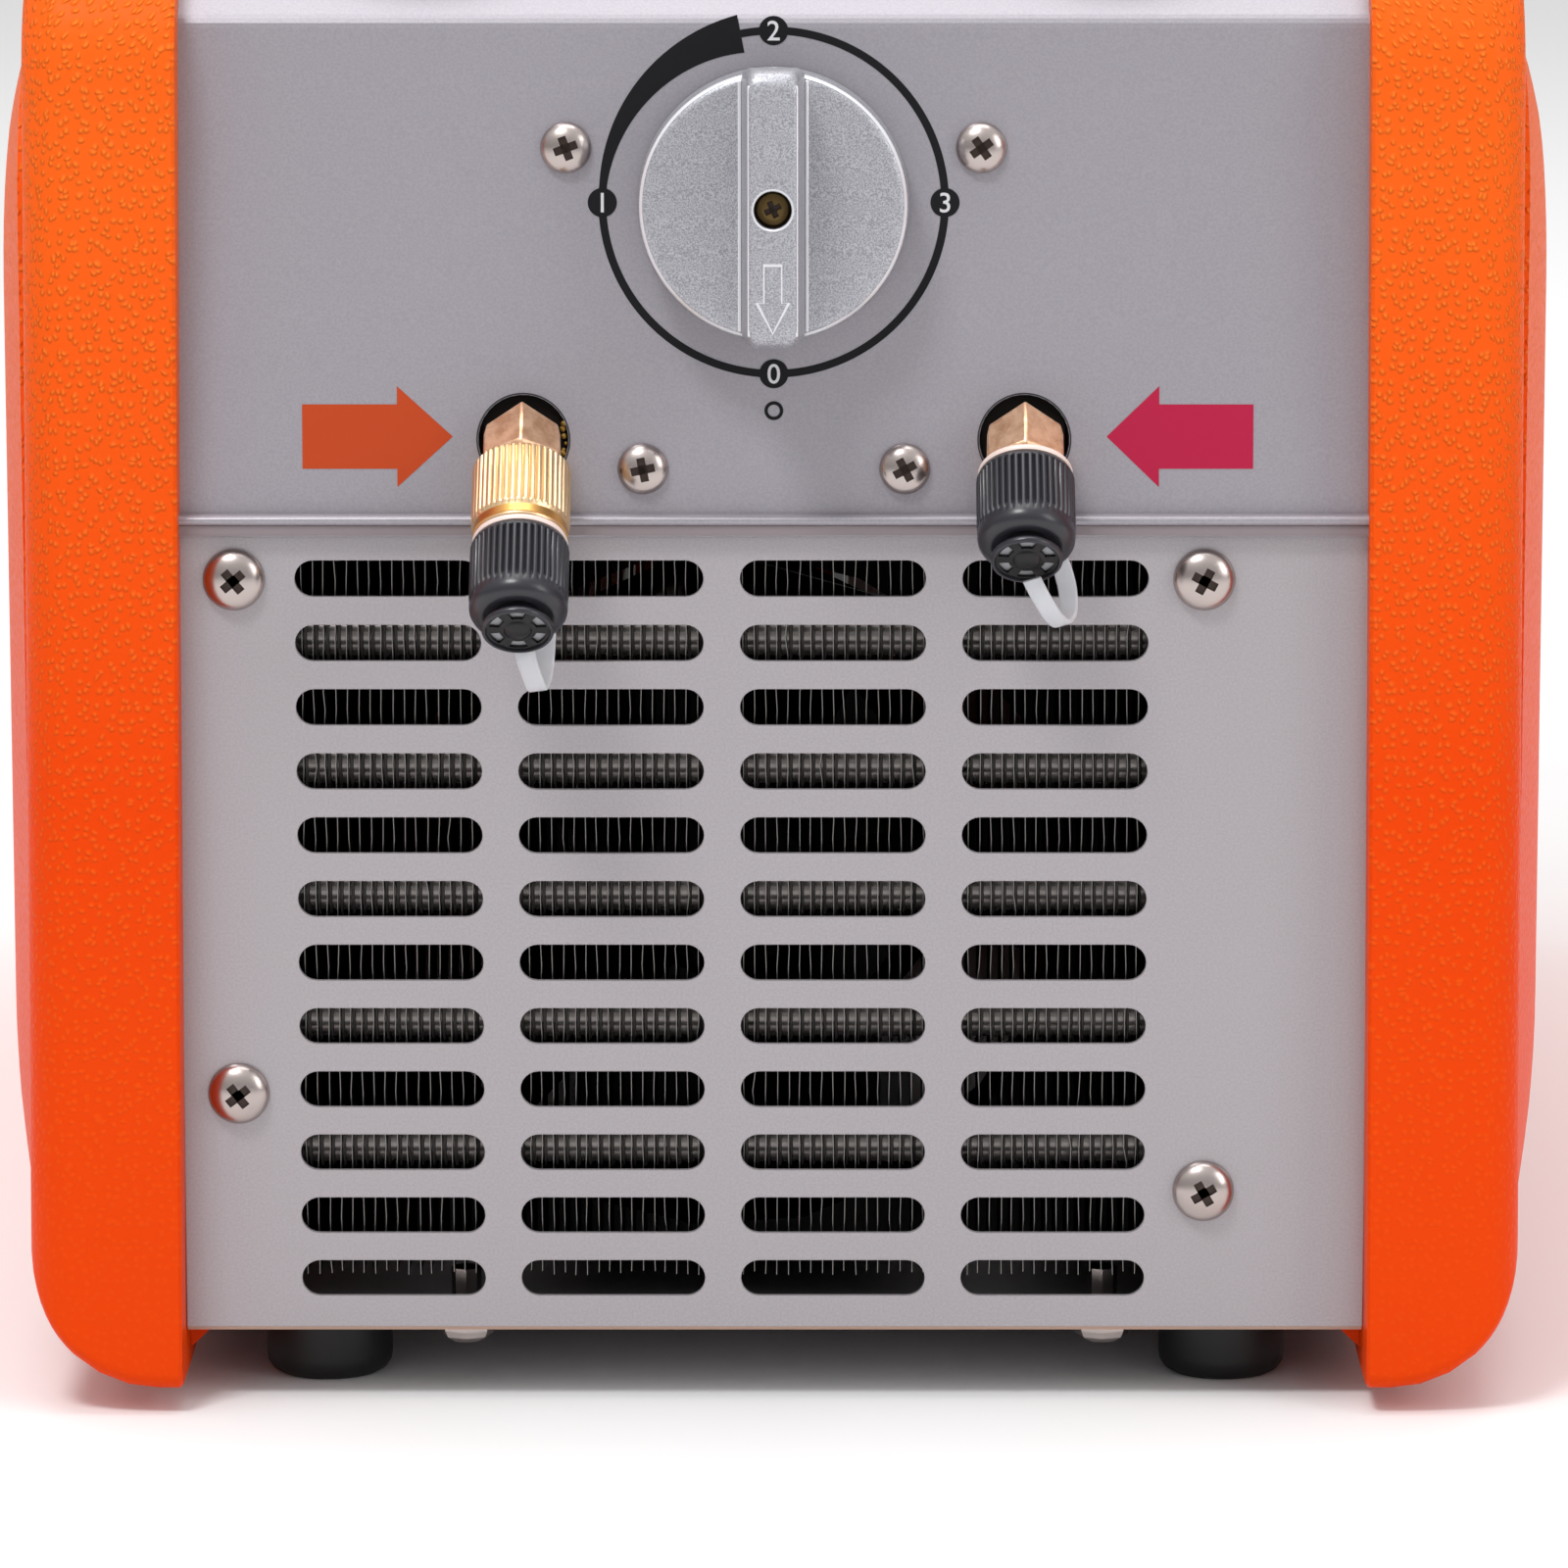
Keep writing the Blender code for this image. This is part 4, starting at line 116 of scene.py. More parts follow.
def smooth(value, low, high):
    share = min(max((value - low) / (high - low), 0), 1)
    return share * share * (3 - 2 * share)


# Finishes
def srgb(red, green, blue):
    def linear(value):
        share = value / 255
        return share / 12.92 if share <= 0.04045 else ((share + 0.055) / 1.055) ** 2.4

    return (linear(red), linear(green), linear(blue), 1)


class Finish:
    """A node material with short calls for what its nodes repeat."""

    def __init__(self, name, colour, roughness, slot=None, metallic=0.0, specular=0.5, **inputs):
        self.name = name
        self.material = bpy.data.materials.new(name)
        self.material.use_nodes = True
        self.slot = slot or name
        self.tree = self.material.node_tree
        self.shader = self.tree.nodes["Principled BSDF"]
        self.set("Base Color", colour)
        self.set("Roughness", roughness)
        self.set("Metallic", metallic)
        self.set("Specular IOR Level", specular)
        for key, value in inputs.items():
            self.set(key.replace("_", " "), value)

    def set(self, key, value):
        self.shader.inputs[key].default_value = value

    def node(self, kind, **values):
        made = self.tree.nodes.new(kind)
        for key, value in values.items():
            if hasattr(made, key):
                setattr(made, key, value)
            else:
                made.inputs[key.replace("_", " ")].default_value = value
        return made

    def link(self, source, output, target, entry):
        self.tree.links.new(source.outputs[output], target.inputs[entry])
        return target

    def place(self):
        """Object coordinates: metres in the machine's own frame."""
        return self.node("ShaderNodeTexCoord")

    def noise(self, scale, detail, roughness=0.5):
        texture = self.node("ShaderNodeTexNoise", Scale=scale, Detail=detail, Roughness=roughness)
        return self.link(self.place(), "Object", texture, "Vector")

    def ramp(self, source, output, low, high, first=0.0, second=1.0):
        mapped = self.node("ShaderNodeMapRange", From_Min=low, From_Max=high, To_Min=first, To_Max=second)
        return self.link(source, output, mapped, "Value")

    def maths(self, operation, first, first_output, second, second_output=None):
        made = self.node("ShaderNodeMath", operation=operation)
        self.link(first, first_output, made, 0)
        if second_output is None:
            made.inputs[1].default_value = second
        else:
            self.link(second, second_output, made, 1)
        return made

    def bump(self, source, output, distance, strength, under=None):
        made = self.node("ShaderNodeBump", Strength=strength, Distance=distance)
        self.link(source, output, made, "Height")
        if under is not None:
            self.link(under, "Normal", made, "Normal")
        self.link(made, "Normal", self.shader, "Normal")
        return made

    def mix_colour(self, source, output, first, second):
        mix = self.node("ShaderNodeMix", data_type="RGBA")
        mix.inputs[6].default_value = first
        mix.inputs[7].default_value = second
        self.link(source, output, mix, "Factor")
        self.tree.links.new(mix.outputs[2], self.shader.inputs["Base Color"])


def orange_plastic():
    """Moulded plastic: raised pebbles that fade towards the foot, with painted highlights on their tops and
    painted light that makes the colour paler higher up and redder towards the foot.
    """
    finish = Finish("orange_plastic", srgb(240, 92, 8), 0.38, specular=0.05)
    place = finish.node("ShaderNodeSeparateXYZ")
    finish.link(finish.place(), "Object", place, "Vector")
    width = finish.maths("ABSOLUTE", place, "X", 0)
    across = finish.maths("ADD", width, "Value", place, "Y")
    flat = finish.node("ShaderNodeCombineXYZ")
    finish.link(across, "Value", flat, "X")
    finish.link(place, "Z", flat, "Y")
    wander = finish.noise(420.0, 1.0)
    shift = finish.node("ShaderNodeVectorMath", operation="MULTIPLY_ADD")
    finish.link(wander, "Color", shift, 0)
    shift.inputs[1].default_value = (1.1 * MM, 1.1 * MM, 0)
    finish.link(flat, "Vector", shift, 2)
    cells = finish.node("ShaderNodeTexVoronoi", voronoi_dimensions="2D", Scale=590.0, Randomness=0.85)
    finish.link(shift, "Vector", cells, "Vector")
    dots = finish.ramp(cells, "Distance", 0.05, 0.4, 1.0, 0.0)
    dots.interpolation_type = "SMOOTHSTEP"
    fade = finish.ramp(place, "Z", 0.02, 0.165, 0.1, 1.0)
    product = finish.maths("MULTIPLY", dots, "Result", fade, "Result")
    grain = finish.bump(finish.noise(2600.0, 3.0), "Fac", 0.04 * MM, 0.4)
    finish.bump(product, "Value", 0.36 * MM, 1.0, grain)
    # Painted light: the colour grows paler towards the top and redder towards the foot.
    height = finish.ramp(place, "Z", 0.1, 0.2, 0.0, 0.24)
    # Painted highlights: the pebble tops mix towards a pale orange, with the painted light added.
    painted_highlights_and_top_light = finish.maths("MULTIPLY_ADD", product, "Value", 0.25)
    finish.link(height, "Result", painted_highlights_and_top_light, 2)
    finish.mix_colour(painted_highlights_and_top_light, "Value", srgb(222, 64, 4), srgb(255, 146, 50))
    return finish


def painted_sheet(name, low, high):
    """Fine silver paint, with a grain too small to read as blotches."""
    finish = Finish(name, low, 0.33, "painted_sheet", 0.3, specular=0.45)
    finish.mix_colour(finish.ramp(finish.noise(2600.0, 2.0), "Fac", 0.35, 0.65), "Result", low, high)
    finish.bump(finish.noise(2200.0, 2.0), "Fac", 0.012 * MM, 0.25)
    return finish


def cast_metal(name, colour, roughness, grain, slot, depth=0.1, metallic=1.0, dull=None):
    """Metal with a fine cast grain, mottled where a duller colour is given."""
    finish = Finish(name, colour, roughness, slot, metallic)
    finish.bump(finish.noise(grain, 4.0, 0.6), "Fac", depth * MM, 0.45)
    if dull is not None:
        patches = finish.ramp(finish.noise(380.0, 4.0, 0.6), "Fac", 0.35, 0.6)
        finish.mix_colour(patches, "Result", dull, colour)
    return finish


def silver_paint():
    """Metallic paint with flakes that differ in shine and shade."""
    finish = Finish("knob_silver", srgb(158, 158, 166), 0.34, metallic=0.45)
    sparkle = finish.node("ShaderNodeTexVoronoi", Scale=4200.0)
    finish.link(finish.place(), "Object", sparkle, "Vector")
    finish.link(finish.ramp(sparkle, "Distance", 0.1, 0.8, 0.25, 0.5), "Result", finish.shader, "Roughness")
    flakes = finish.ramp(finish.noise(4200.0, 1.0), "Fac", 0.35, 0.65)
    finish.mix_colour(flakes, "Result", srgb(140, 140, 147), srgb(184, 184, 190))
    finish.bump(finish.noise(4200.0, 2.0), "Fac", 0.025 * MM, 0.5)
    return finish


def black_plastic(name, shade, roughness, slot="black_plastic", specular=0.5):
    finish = Finish(name, shade, roughness, slot, specular=specular)
    finish.bump(finish.noise(1500.0, 3.0), "Fac", 0.03 * MM, 0.3)
    return finish


def make_finishes():
    """Every finish; each holds a slot name, its own name unless another is given."""
    return [
        orange_plastic(),
        painted_sheet("painted_sheet", srgb(158, 153, 157), srgb(166, 161, 165)),
        painted_sheet("panel_paint", srgb(149, 145, 152), srgb(157, 153, 160)),
        # Painted shadow under the control panel's rolled lip.
        Finish("painted_lip_shadow", srgb(134, 125, 128), 0.7, "painted_sheet", specular=0.1),
        Finish("sheet_edge", srgb(166, 138, 122), 0.5, "painted_sheet", 0.4),
        cast_metal("nickel", srgb(182, 171, 167), 0.27, 700.0, "steel", 0.04),
        # Painted shade for the screws' cross recesses.
        Finish("recess_painted_shade", srgb(60, 48, 43), 0.4, "steel", 0.6),
        Finish("steel_dark", srgb(66, 66, 70), 0.4, "steel", 0.8),
        Finish("pin_steel", srgb(200, 196, 186), 0.25, "steel", 1.0),
        silver_paint(),
        # Lighter strips on the knob's edges are painted highlights.
        Finish("knob_painted_highlight", srgb(222, 222, 226), 0.25, "knob_silver", 0.3),
        cast_metal("hex_brass", srgb(238, 196, 162), 0.34, 1300.0, "brass", 0.14, 0.8, srgb(206, 158, 124)),
        cast_metal("gold_brass", srgb(236, 202, 158), 0.32, 900.0, "brass", 0.04, 0.9),
        cast_metal("band_brass", srgb(220, 166, 96), 0.3, 900.0, "brass", 0.04),
        cast_metal("dark_brass", srgb(112, 92, 58), 0.35, 900.0, "brass", 0.05),
        cast_metal("sealant", srgb(150, 118, 60), 0.6, 1600.0, "brass", 0.3),
        # Painted shade: the valve block behind the port holes is made near black.
        Finish("block_painted_shade", srgb(22, 19, 17), 0.7, "brass", specular=0.1),
        black_plastic("satin_black", srgb(30, 30, 33), 0.42),
        black_plastic("cap_black", srgb(38, 38, 44), 0.3),
        black_plastic("cap_dark", srgb(17, 17, 19), 0.34, specular=0.35),
        # Painted light seen through the cap windows.
        Finish("cap_painted_light", srgb(150, 150, 154), 0.4, "black_plastic"),
        black_plastic("rubber", srgb(22, 21, 22), 0.5, "rubber", 0.4),
        Finish("tether", srgb(236, 232, 234), 0.3, Subsurface_Weight=0.2, Transmission_Weight=0.35, IOR=1.2),
        Finish("ring_white", srgb(228, 208, 200), 0.35, "tether"),
        Finish("dial_white", srgb(236, 236, 232), 0.55),
        Finish("print_black", srgb(20, 20, 23), 0.5, "black_plastic", specular=0.15),
        Finish("print_white", srgb(200, 198, 202), 0.5, "dial_white"),
        Finish("print_orange", srgb(176, 64, 24), 0.5, "orange_plastic", specular=0.2),
        Finish("print_crimson", srgb(168, 24, 62), 0.5, "needle_red", specular=0.2),
        Finish("print_green", srgb(48, 128, 72), 0.5, "dial_white"),
        Finish("print_red", srgb(190, 30, 30), 0.5, "needle_red"),
        Finish("lens", (1, 1, 1, 1), 0.02, Transmission_Weight=1.0, IOR=1.15),
        Finish("aluminium", srgb(172, 174, 176), 0.38, metallic=1.0),
        Finish("fin_edge", srgb(146, 142, 139), 0.38, "aluminium", 0.8),
        # Painted shade between the condenser fins.
        Finish("fin_side_painted_shade", srgb(30, 28, 27), 0.6, "aluminium", 0.3),
        Finish("tube", srgb(140, 134, 131), 0.24, "aluminium", 0.5),
        Finish("collar", srgb(156, 150, 147), 0.32, "aluminium", 0.6),
        Finish("copper", srgb(190, 110, 78), 0.3, metallic=1.0),
        Finish("red_plastic", srgb(190, 20, 16), 0.28),
    ]


FINISHES = {finish.name: finish for finish in make_finishes()}


# Mesh helpers
def lathe(profile, steps=64, hollow=False):
    """Spins (radius, height) points, in millimetres, round local Z."""
    mesh = bmesh.new()
    corners = [mesh.verts.new((radius * MM, 0, height * MM)) for radius, height in profile]
    pairs = list(zip(corners, corners[1:]))
    if hollow:
        pairs.append((corners[-1], corners[0]))
    edges = [mesh.edges.new(pair) for pair in pairs]
    whole = {"axis": (0, 0, 1), "cent": (0, 0, 0), "angle": 2 * math.pi}
    bmesh.ops.spin(mesh, geom=corners + edges, steps=steps, use_merge=True, **whole)
    bmesh.ops.remove_doubles(mesh, verts=mesh.verts, dist=1e-6)
    return mesh


def loft(rings):
    """A skin through rings of (x, y, z) points in millimetres, with flat ends."""
    mesh = bmesh.new()
    rows = [[mesh.verts.new([value * MM for value in point]) for point in ring] for ring in rings]
    for low, high in zip(rows, rows[1:]):
        for index in range(len(low)):
            after = (index + 1) % len(low)
            mesh.faces.new((low[index], low[after], high[after], high[index]))
    mesh.faces.new(rows[0][::-1])
    mesh.faces.new(rows[-1])
    return mesh


def prism(outline, low, high):
    """An extrusion of an (x, y) outline along local Z."""
    return loft([[(*point, level) for point in outline] for level in (low, high)])


def side_prism(outline, low, high):
    """An extrusion of a (y, z) outline along X."""
    return loft([[(level, *point) for point in outline] for level in (low, high)])


def block(low, high):
    corners = [(low[0], low[1]), (high[0], low[1]), (high[0], high[1]), (low[0], high[1])]
    return prism(corners, low[2], high[2])


def ribbed(profile, ridges, per_ridge, sharpness):
    """Rings of (radius, height, groove depth): a turned form with knurled stretches."""
    count = ridges * per_ridge
    rings = []
    for radius, height, depth in profile:
        ring = []
        for step in range(count):
            angle = 2 * math.pi * step / count
            wave = 0.5 - 0.5 * math.cos(ridges * angle)
            reach = radius - depth * wave**sharpness
            ring.append((reach * math.cos(angle), reach * math.sin(angle), height))
        rings.append(ring)
    return loft(rings)


def ribbon(path, width_along, width, thickness):
    """A flat strap along a path of points; its width lies along one fixed direction."""
    side = Vector(width_along).normalized()
    points = [Vector(point) for point in path]
    rings = []
    for index, point in enumerate(points):
        before = points[max(index - 1, 0)]
        after = points[min(index + 1, len(points) - 1)]
        out = (after - before).normalized().cross(side).normalized()
        ring = []
        for across, up in rounded_box(width, thickness, 0.45 * thickness, 3):
            ring.append(point + side * across + out * up)
        rings.append(ring)
    return loft(rings)


def curve_through(points):
    """A smooth path through the given points."""
    path = []
    steps = 8
    ends = [points[0]] + list(points) + [points[-1]]
    for index in range(1, len(ends) - 2):
        first, second, third, fourth = (Vector(point) for point in ends[index - 1 : index + 3])
        slope = third - first
        square = 2 * first - 5 * second + 4 * third - fourth
        cube = 3 * second - first - 3 * third + fourth
        for step in range(steps):
            share = step / steps
            path.append(0.5 * (2 * second + slope * share + square * share**2 + cube * share**3))
    path.append(Vector(points[-1]))
    return path


def circle(radius, steps):
    points = []
    for step in range(steps):
        angle = 2 * math.pi * step / steps
        points.append((radius * math.cos(angle), radius * math.sin(angle)))
    return points


def arc(radius, start, end, steps, centre=(0, 0)):
    points = []
    for step in range(steps + 1):
        angle = math.radians(start + (end - start) * step / steps)
        points.append((centre[0] + radius * math.cos(angle), centre[1] + radius * math.sin(angle)))
    return points


def band(radius, half, start, end):
    """A flat arc-shaped stripe between two angles."""
    return arc(radius + half, start, end, 60) + arc(radius - half, end, start, 60)


def slot_outline(x, z):
    radius = 0.5 * SLOT_HEIGHT
    reach = 0.5 * SLOT_LENGTH - radius
    return arc(radius, -90, 90, 12, (x + reach, z)) + arc(radius, 90, 270, 12, (x - reach, z))


def rounded_box(width, height, radius, steps):
    points = []
    for side_x, side_y, start in ((1, -1, -90), (1, 1, 0), (-1, 1, 90), (-1, -1, 180)):
        middle = (side_x * (0.5 * width - radius), side_y * (0.5 * height - radius))
        points += arc(radius, start, start + 90, steps, middle)
    return points


def inset_polygon(corners, insets):
    """Corners of a counter-clockwise polygon with edge i moved inward by insets[i]."""
    lines = []
    count = len(corners)
    for index in range(count):
        start, end = Vector(corners[index]), Vector(corners[(index + 1) % count])
        way = (end - start).normalized()
        inward = Vector((-way.y, way.x))
        lines.append((start + inward * insets[index], way))
    moved_corners = []
    for index in range(count):
        (first, way), (second, other) = lines[index - 1], lines[index]
        turn = way.x * other.y - way.y * other.x
        gap = second - first
        moved_corners.append(first + way * ((gap.x * other.y - gap.y * other.x) / turn))
    return moved_corners


def rounded_polygon(corners, radii, steps=8):
    points = []
    count = len(corners)
    for index in range(count):
        here = Vector(corners[index])
        before = (Vector(corners[index - 1]) - here).normalized()
        after = (Vector(corners[(index + 1) % count]) - here).normalized()
        half = 0.5 * before.angle(after)
        reach = radii[index] / math.tan(half)
        start, end = here + before * reach, here + after * reach
        centre = here + (before + after).normalized() * (radii[index] / math.sin(half))
        sweep = math.pi - 2 * half
        for step in range(steps + 1):
            share = step / steps
            first = math.sin((1 - share) * sweep) / math.sin(sweep)
            second = math.sin(share * sweep) / math.sin(sweep)
            points.append(centre + (start - centre) * first + (end - centre) * second)
    return points


def new_object(name, data):
    made = bpy.data.objects.new(name, data)
    bpy.context.scene.collection.objects.link(made)
    return made


def plate(outlines, low, high, edge=0.0):
    """A flat sheet between two levels; every outline after the first is a hole."""
    curve = bpy.data.curves.new("plate", "CURVE")
    curve.dimensions = "2D"
    curve.fill_mode = "BOTH"
    curve.extrude = (0.5 * (high - low) - edge) * MM
    curve.bevel_depth = edge * MM
    curve.bevel_resolution = 1
    curve.offset = -edge * MM
    for outline in outlines:
        spline = curve.splines.new("POLY")
        spline.points.add(len(outline) - 1)
        for target, point in zip(spline.points, outline):
            target.co = (point[0] * MM, point[1] * MM, 0, 1)
        spline.use_cyclic_u = True
    return from_curve(curve, 0.5 * (low + high))


def evaluated(made):
    """A copy of an object's mesh with its modifiers applied."""
    bpy.context.view_layer.update()
    graph = bpy.context.evaluated_depsgraph_get()
    return bpy.data.meshes.new_from_object(made.evaluated_get(graph))


def from_curve(curve, level=0.0):
    holder = new_object("holder", curve)
    data = evaluated(holder)
    bpy.data.objects.remove(holder)
    bpy.data.curves.remove(curve)
    mesh = bmesh.new()
    mesh.from_mesh(data)
    bpy.data.meshes.remove(data)
    bmesh.ops.remove_doubles(mesh, verts=mesh.verts, dist=1e-7)
    bmesh.ops.translate(mesh, verts=mesh.verts, vec=(0, 0, level * MM))
    return mesh


def lettering(text, size, thickness, bold=0.0):
    """Centred flat characters, size being their height in millimetres."""
    curve = bpy.data.curves.new("text", "FONT")
    curve.body = text
    curve.size = size * MM / 0.7
    curve.align_x = "CENTER"
    curve.align_y = "CENTER"
    curve.extrude = 0.5 * thickness * MM
    curve.offset = bold * MM
    curve.resolution_u = 4
    mesh = from_curve(curve)
    low = Vector((min(v.co.x for v in mesh.verts), min(v.co.y for v in mesh.verts), 0))
    high = Vector((max(v.co.x for v in mesh.verts), max(v.co.y for v in mesh.verts), 0))
    bmesh.ops.translate(mesh, verts=mesh.verts, vec=-0.5 * (low + high))
    return mesh


def merged(meshes):
    whole = bmesh.new()
    for part in meshes:
        data = bpy.data.meshes.new("merge")
        part.to_mesh(data)
        part.free()
        whole.from_mesh(data)
        bpy.data.meshes.remove(data)
    return whole


def moved(mesh, matrix):
    bmesh.ops.transform(mesh, matrix=matrix, verts=mesh.verts)
    return mesh


def shade(data, sharp=35):
    """Smooth shading, with the edges over this angle left sharp."""
    data.shade_smooth()
    data.set_sharp_from_angle(angle=math.radians(sharp))


def solid(name, mesh, matrix):
    if matrix is not None:
        moved(mesh, matrix)
    bmesh.ops.recalc_face_normals(mesh, faces=mesh.faces)
    data = bpy.data.meshes.new(name)
    mesh.to_mesh(data)
    mesh.free()
    return new_object(name, data)


def piece(name, mesh, finish, matrix=None, body="chassis", stands_for=(), sharp=35):
    """A named piece that rides on a body, if one is given, and stands for its CAD nodes."""
    made = solid(name, mesh, matrix)
    shade(made.data, sharp)
    kind = FINISHES[finish]
    made.data.materials.append(kind.material)
    if body is not None:
        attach(made, body)
    if stands_for:
        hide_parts(*stands_for)
    return made


def soften(made, width):
    bevel = made.modifiers.new("Bevel", "BEVEL")
    bevel.width = width * MM
    bevel.segments = 2
    bevel.limit_method = "ANGLE"
    bevel.angle_limit = math.radians(30)


def carve(target, mesh, matrix=None):
    """Cuts a mesh out of a piece and keeps the result as plain mesh data."""
    cutter = solid("cutter", mesh, matrix)
    modifier = target.modifiers.new("Cut", "BOOLEAN")
    modifier.operation = "DIFFERENCE"
    modifier.solver = "EXACT"
    modifier.object = cutter
    target.data = evaluated(target)
    target.modifiers.clear()
    bpy.data.objects.remove(cutter)
    shade(target.data)


# Camera, light and floor
CAMERA_PLACE = (8 * MM, -1460.2 * MM, 326.7 * MM)
CAMERA_DOWN = 10
LENS = 187.5
FRAME_SHIFT = -0.0258
# Each lamp's name, place, target, size and power, in metres and watts
LAMPS = (
    ("key", (-0.45, -0.95, 1.5), (0, -0.1, 0.15), (0.4, 0.3), 13),
    ("fill", (1.2, -1.0, 0.7), (0, -0.1, 0.12), (0.5, 0.8), 5),
    ("top", (0, -0.1, 1.8), (0, 0, 0.2), (1.2, 0.9), 11),
    ("back", (0.2, 1.6, 1.4), (0, 0.3, 0.0), (1.4, 0.8), 6),
)


def camera():
    """The photograph's long lens, looking down a little, its frame shifted off the lens axis."""
    data = bpy.data.cameras.new("camera")
    data.lens = LENS
    data.sensor_width = 36
    data.clip_start = 0.05
    data.shift_x = FRAME_SHIFT
    made = new_object("camera", data)
    made.location = CAMERA_PLACE
    made.rotation_euler = (math.radians(90 - CAMERA_DOWN), 0, 0)
    bpy.context.scene.camera = made


def area_light(name, place, target, size, power):
    data = bpy.data.lights.new(name, "AREA")
    data.shape = "RECTANGLE"
    data.size, data.size_y = size
    data.energy = power
    made = new_object(name, data)
    made.location = place
    made.rotation_euler = (Vector(target) - Vector(place)).to_track_quat("-Z", "Y").to_euler()


def sky():
    """A white studio: bright overhead, dimmer towards the horizon, so metal shows its form."""
    world = bpy.data.worlds.new("studio")
    world.use_nodes = True
    tree = world.node_tree
    background = tree.nodes["Background"]
    place = tree.nodes.new("ShaderNodeTexCoord")
    split = tree.nodes.new("ShaderNodeSeparateXYZ")
    mapped = tree.nodes.new("ShaderNodeMapRange")
    tree.links.new(place.outputs["Generated"], split.inputs["Vector"])
    tree.links.new(split.outputs["Z"], mapped.inputs["Value"])
    for key, value in (("From Min", -0.1), ("From Max", 0.75), ("To Min", 0.26), ("To Max", 0.9)):
        mapped.inputs[key].default_value = value
    tree.links.new(mapped.outputs["Result"], background.inputs["Strength"])
    background.inputs["Color"].default_value = (1, 1, 1, 1)
    bpy.context.scene.world = world


def studio():
    sky()
    for lamp in LAMPS:
        area_light(*lamp)
    floor = bmesh.new()
    bmesh.ops.create_grid(floor, x_segments=1, y_segments=1, size=14)
    data = bpy.data.meshes.new("floor")
    floor.to_mesh(data)
    floor.free()
    paper = bpy.data.materials.new("floor_paper")
    paper.use_nodes = True
    shader = paper.node_tree.nodes["Principled BSDF"]
    shader.inputs["Base Color"].default_value = (0.82, 0.82, 0.82, 1)
    shader.inputs["Roughness"].default_value = 0.9
    shader.inputs["Specular IOR Level"].default_value = 0.1
    data.materials.append(paper)
    new_object("floor", data)


# Side covers
LOW, SHOULDER, TOP, NOSE = 4.0, 289.8, 355.0, 222.6
COVER_CORNERS = [(COVER_FRONT, LOW), (COVER_BACK, LOW), (COVER_BACK, SHOULDER), (128.0, SHOULDER)]
COVER_CORNERS += [(52.0, TOP), (-43.0, TOP), (COVER_FRONT, NOSE)]
# Each corner's radius and whether it is hollow
COVER_RADII = [(3, False), (16, False), (26, False), (18, True), (24, False), (24, False), (20, False)]
FOOT_WIDTH = 20.5
FOOT_RISE = 22.0
RIM_ROUND = 7.0
DRAW_IN = 1.2
LEAN_BACK = 4.0
BULGE_LOW = 18.5
BULGE_HIGH = 217.8
BULGE_RADIUS = 26


def cover_ring(across, inset, bottom):
    insets = [bottom] + [inset] * 6
    radii = []
    for radius, hollow in COVER_RADII:
        radii.append(radius + inset if hollow else max(radius - 0.5 * inset, 2.5))
    outline = rounded_polygon(inset_polygon(COVER_CORNERS, insets), radii)
    return [shaped(across, y, z) for y, z in outline]


def shaped(across, y, z):
    """The front of the cover draws in and leans back a little above the grille."""
    share = (1 - smooth(y, COVER_FRONT, -90.0)) * smooth(z, 124.0, 206.0)
    return (across - DRAW_IN * share, y + LEAN_BACK * share, z)


def quarter(distance, width, rise):
    share = min(max(distance / width, 0), 1)
    return rise * (1 - math.sqrt(1 - share * share))


def bulge_ring(across, ramp):
    """One ring of the raised outer panel, drawn in further as its ramp rises."""
    front, back = COVER_FRONT + 13 + 1.7 * ramp, COVER_BACK - 12 - 1.2 * ramp
    low, high = BULGE_LOW + 0.9 * ramp, BULGE_HIGH - 0.8 * ramp
    corners = [(front, low), (back, low), (back, high), (front, high)]
    return [(across, y, z) for y, z in rounded_polygon(corners, [BULGE_RADIUS] * 4)]


def side_cover(side, name):
    turn = Matrix.Scale(side, 4, (1, 0, 0))
    front_start, bottom_start = COVER_RIM - RIM_ROUND, COVER_RIM - FOOT_WIDTH
    levels = [BODY_HALF + 0.05, BODY_HALF + 0.55, 97.0, bottom_start]
    levels += [bottom_start + share * (front_start - bottom_start) for share in (0.35, 0.7, 1)]
    for angle in range(10, 91, 10):
        levels.append(front_start + RIM_ROUND * math.sin(math.radians(angle)))
    rings = []
    for across in levels:
        lip = 0.5 if across < BODY_HALF + 0.1 else 0.0
        inset = lip + quarter(across - front_start, RIM_ROUND, RIM_ROUND)
        bottom = lip + quarter(across - bottom_start, FOOT_WIDTH, FOOT_RISE)
        rings.append(cover_ring(across, inset, bottom))
    cover = piece(name, loft(rings), "orange_plastic", turn, stands_for=[name], sharp=30)
    reach = COVER_HALF - COVER_RIM
    shares = ((-0.3, 0), (0.0, 0.0), (0.12, 2.2), (0.35, 6), (0.62, 11), (0.82, 15), (0.94, 18), (1, 21))
    bulge = loft([bulge_ring(COVER_RIM + reach * up, along) for up, along in shares])
    piece(f"{name}_bulge", bulge, "orange_plastic", turn, sharp=50)
    wedge = [(BODY_HALF, 11.7), (BODY_HALF - 5, 11.7), (BODY_HALF - 1.2, 8.0), (BODY_HALF, 7.0)]
    rib = loft([[(x, y, z) for x, z in wedge] for y in (-172.0, 196.0)])
    piece(f"{name}_rib", rib, "orange_plastic", turn)
    seat = lathe([(0, 14), (8, 14), (8, -1), (0, -1)], 40)
    carve(cover, seat, turn @ at(COVER_RIM - 7, HANDLE_Y, HANDLE_Z) @ ALONG_X)
    window = rounded_polygon([(-166, 26), (186, 26), (186, 266), (-84, 266), (-166, 210)], [8] * 5, 4)
    carve(cover, side_prism(window, 90, 98), turn)


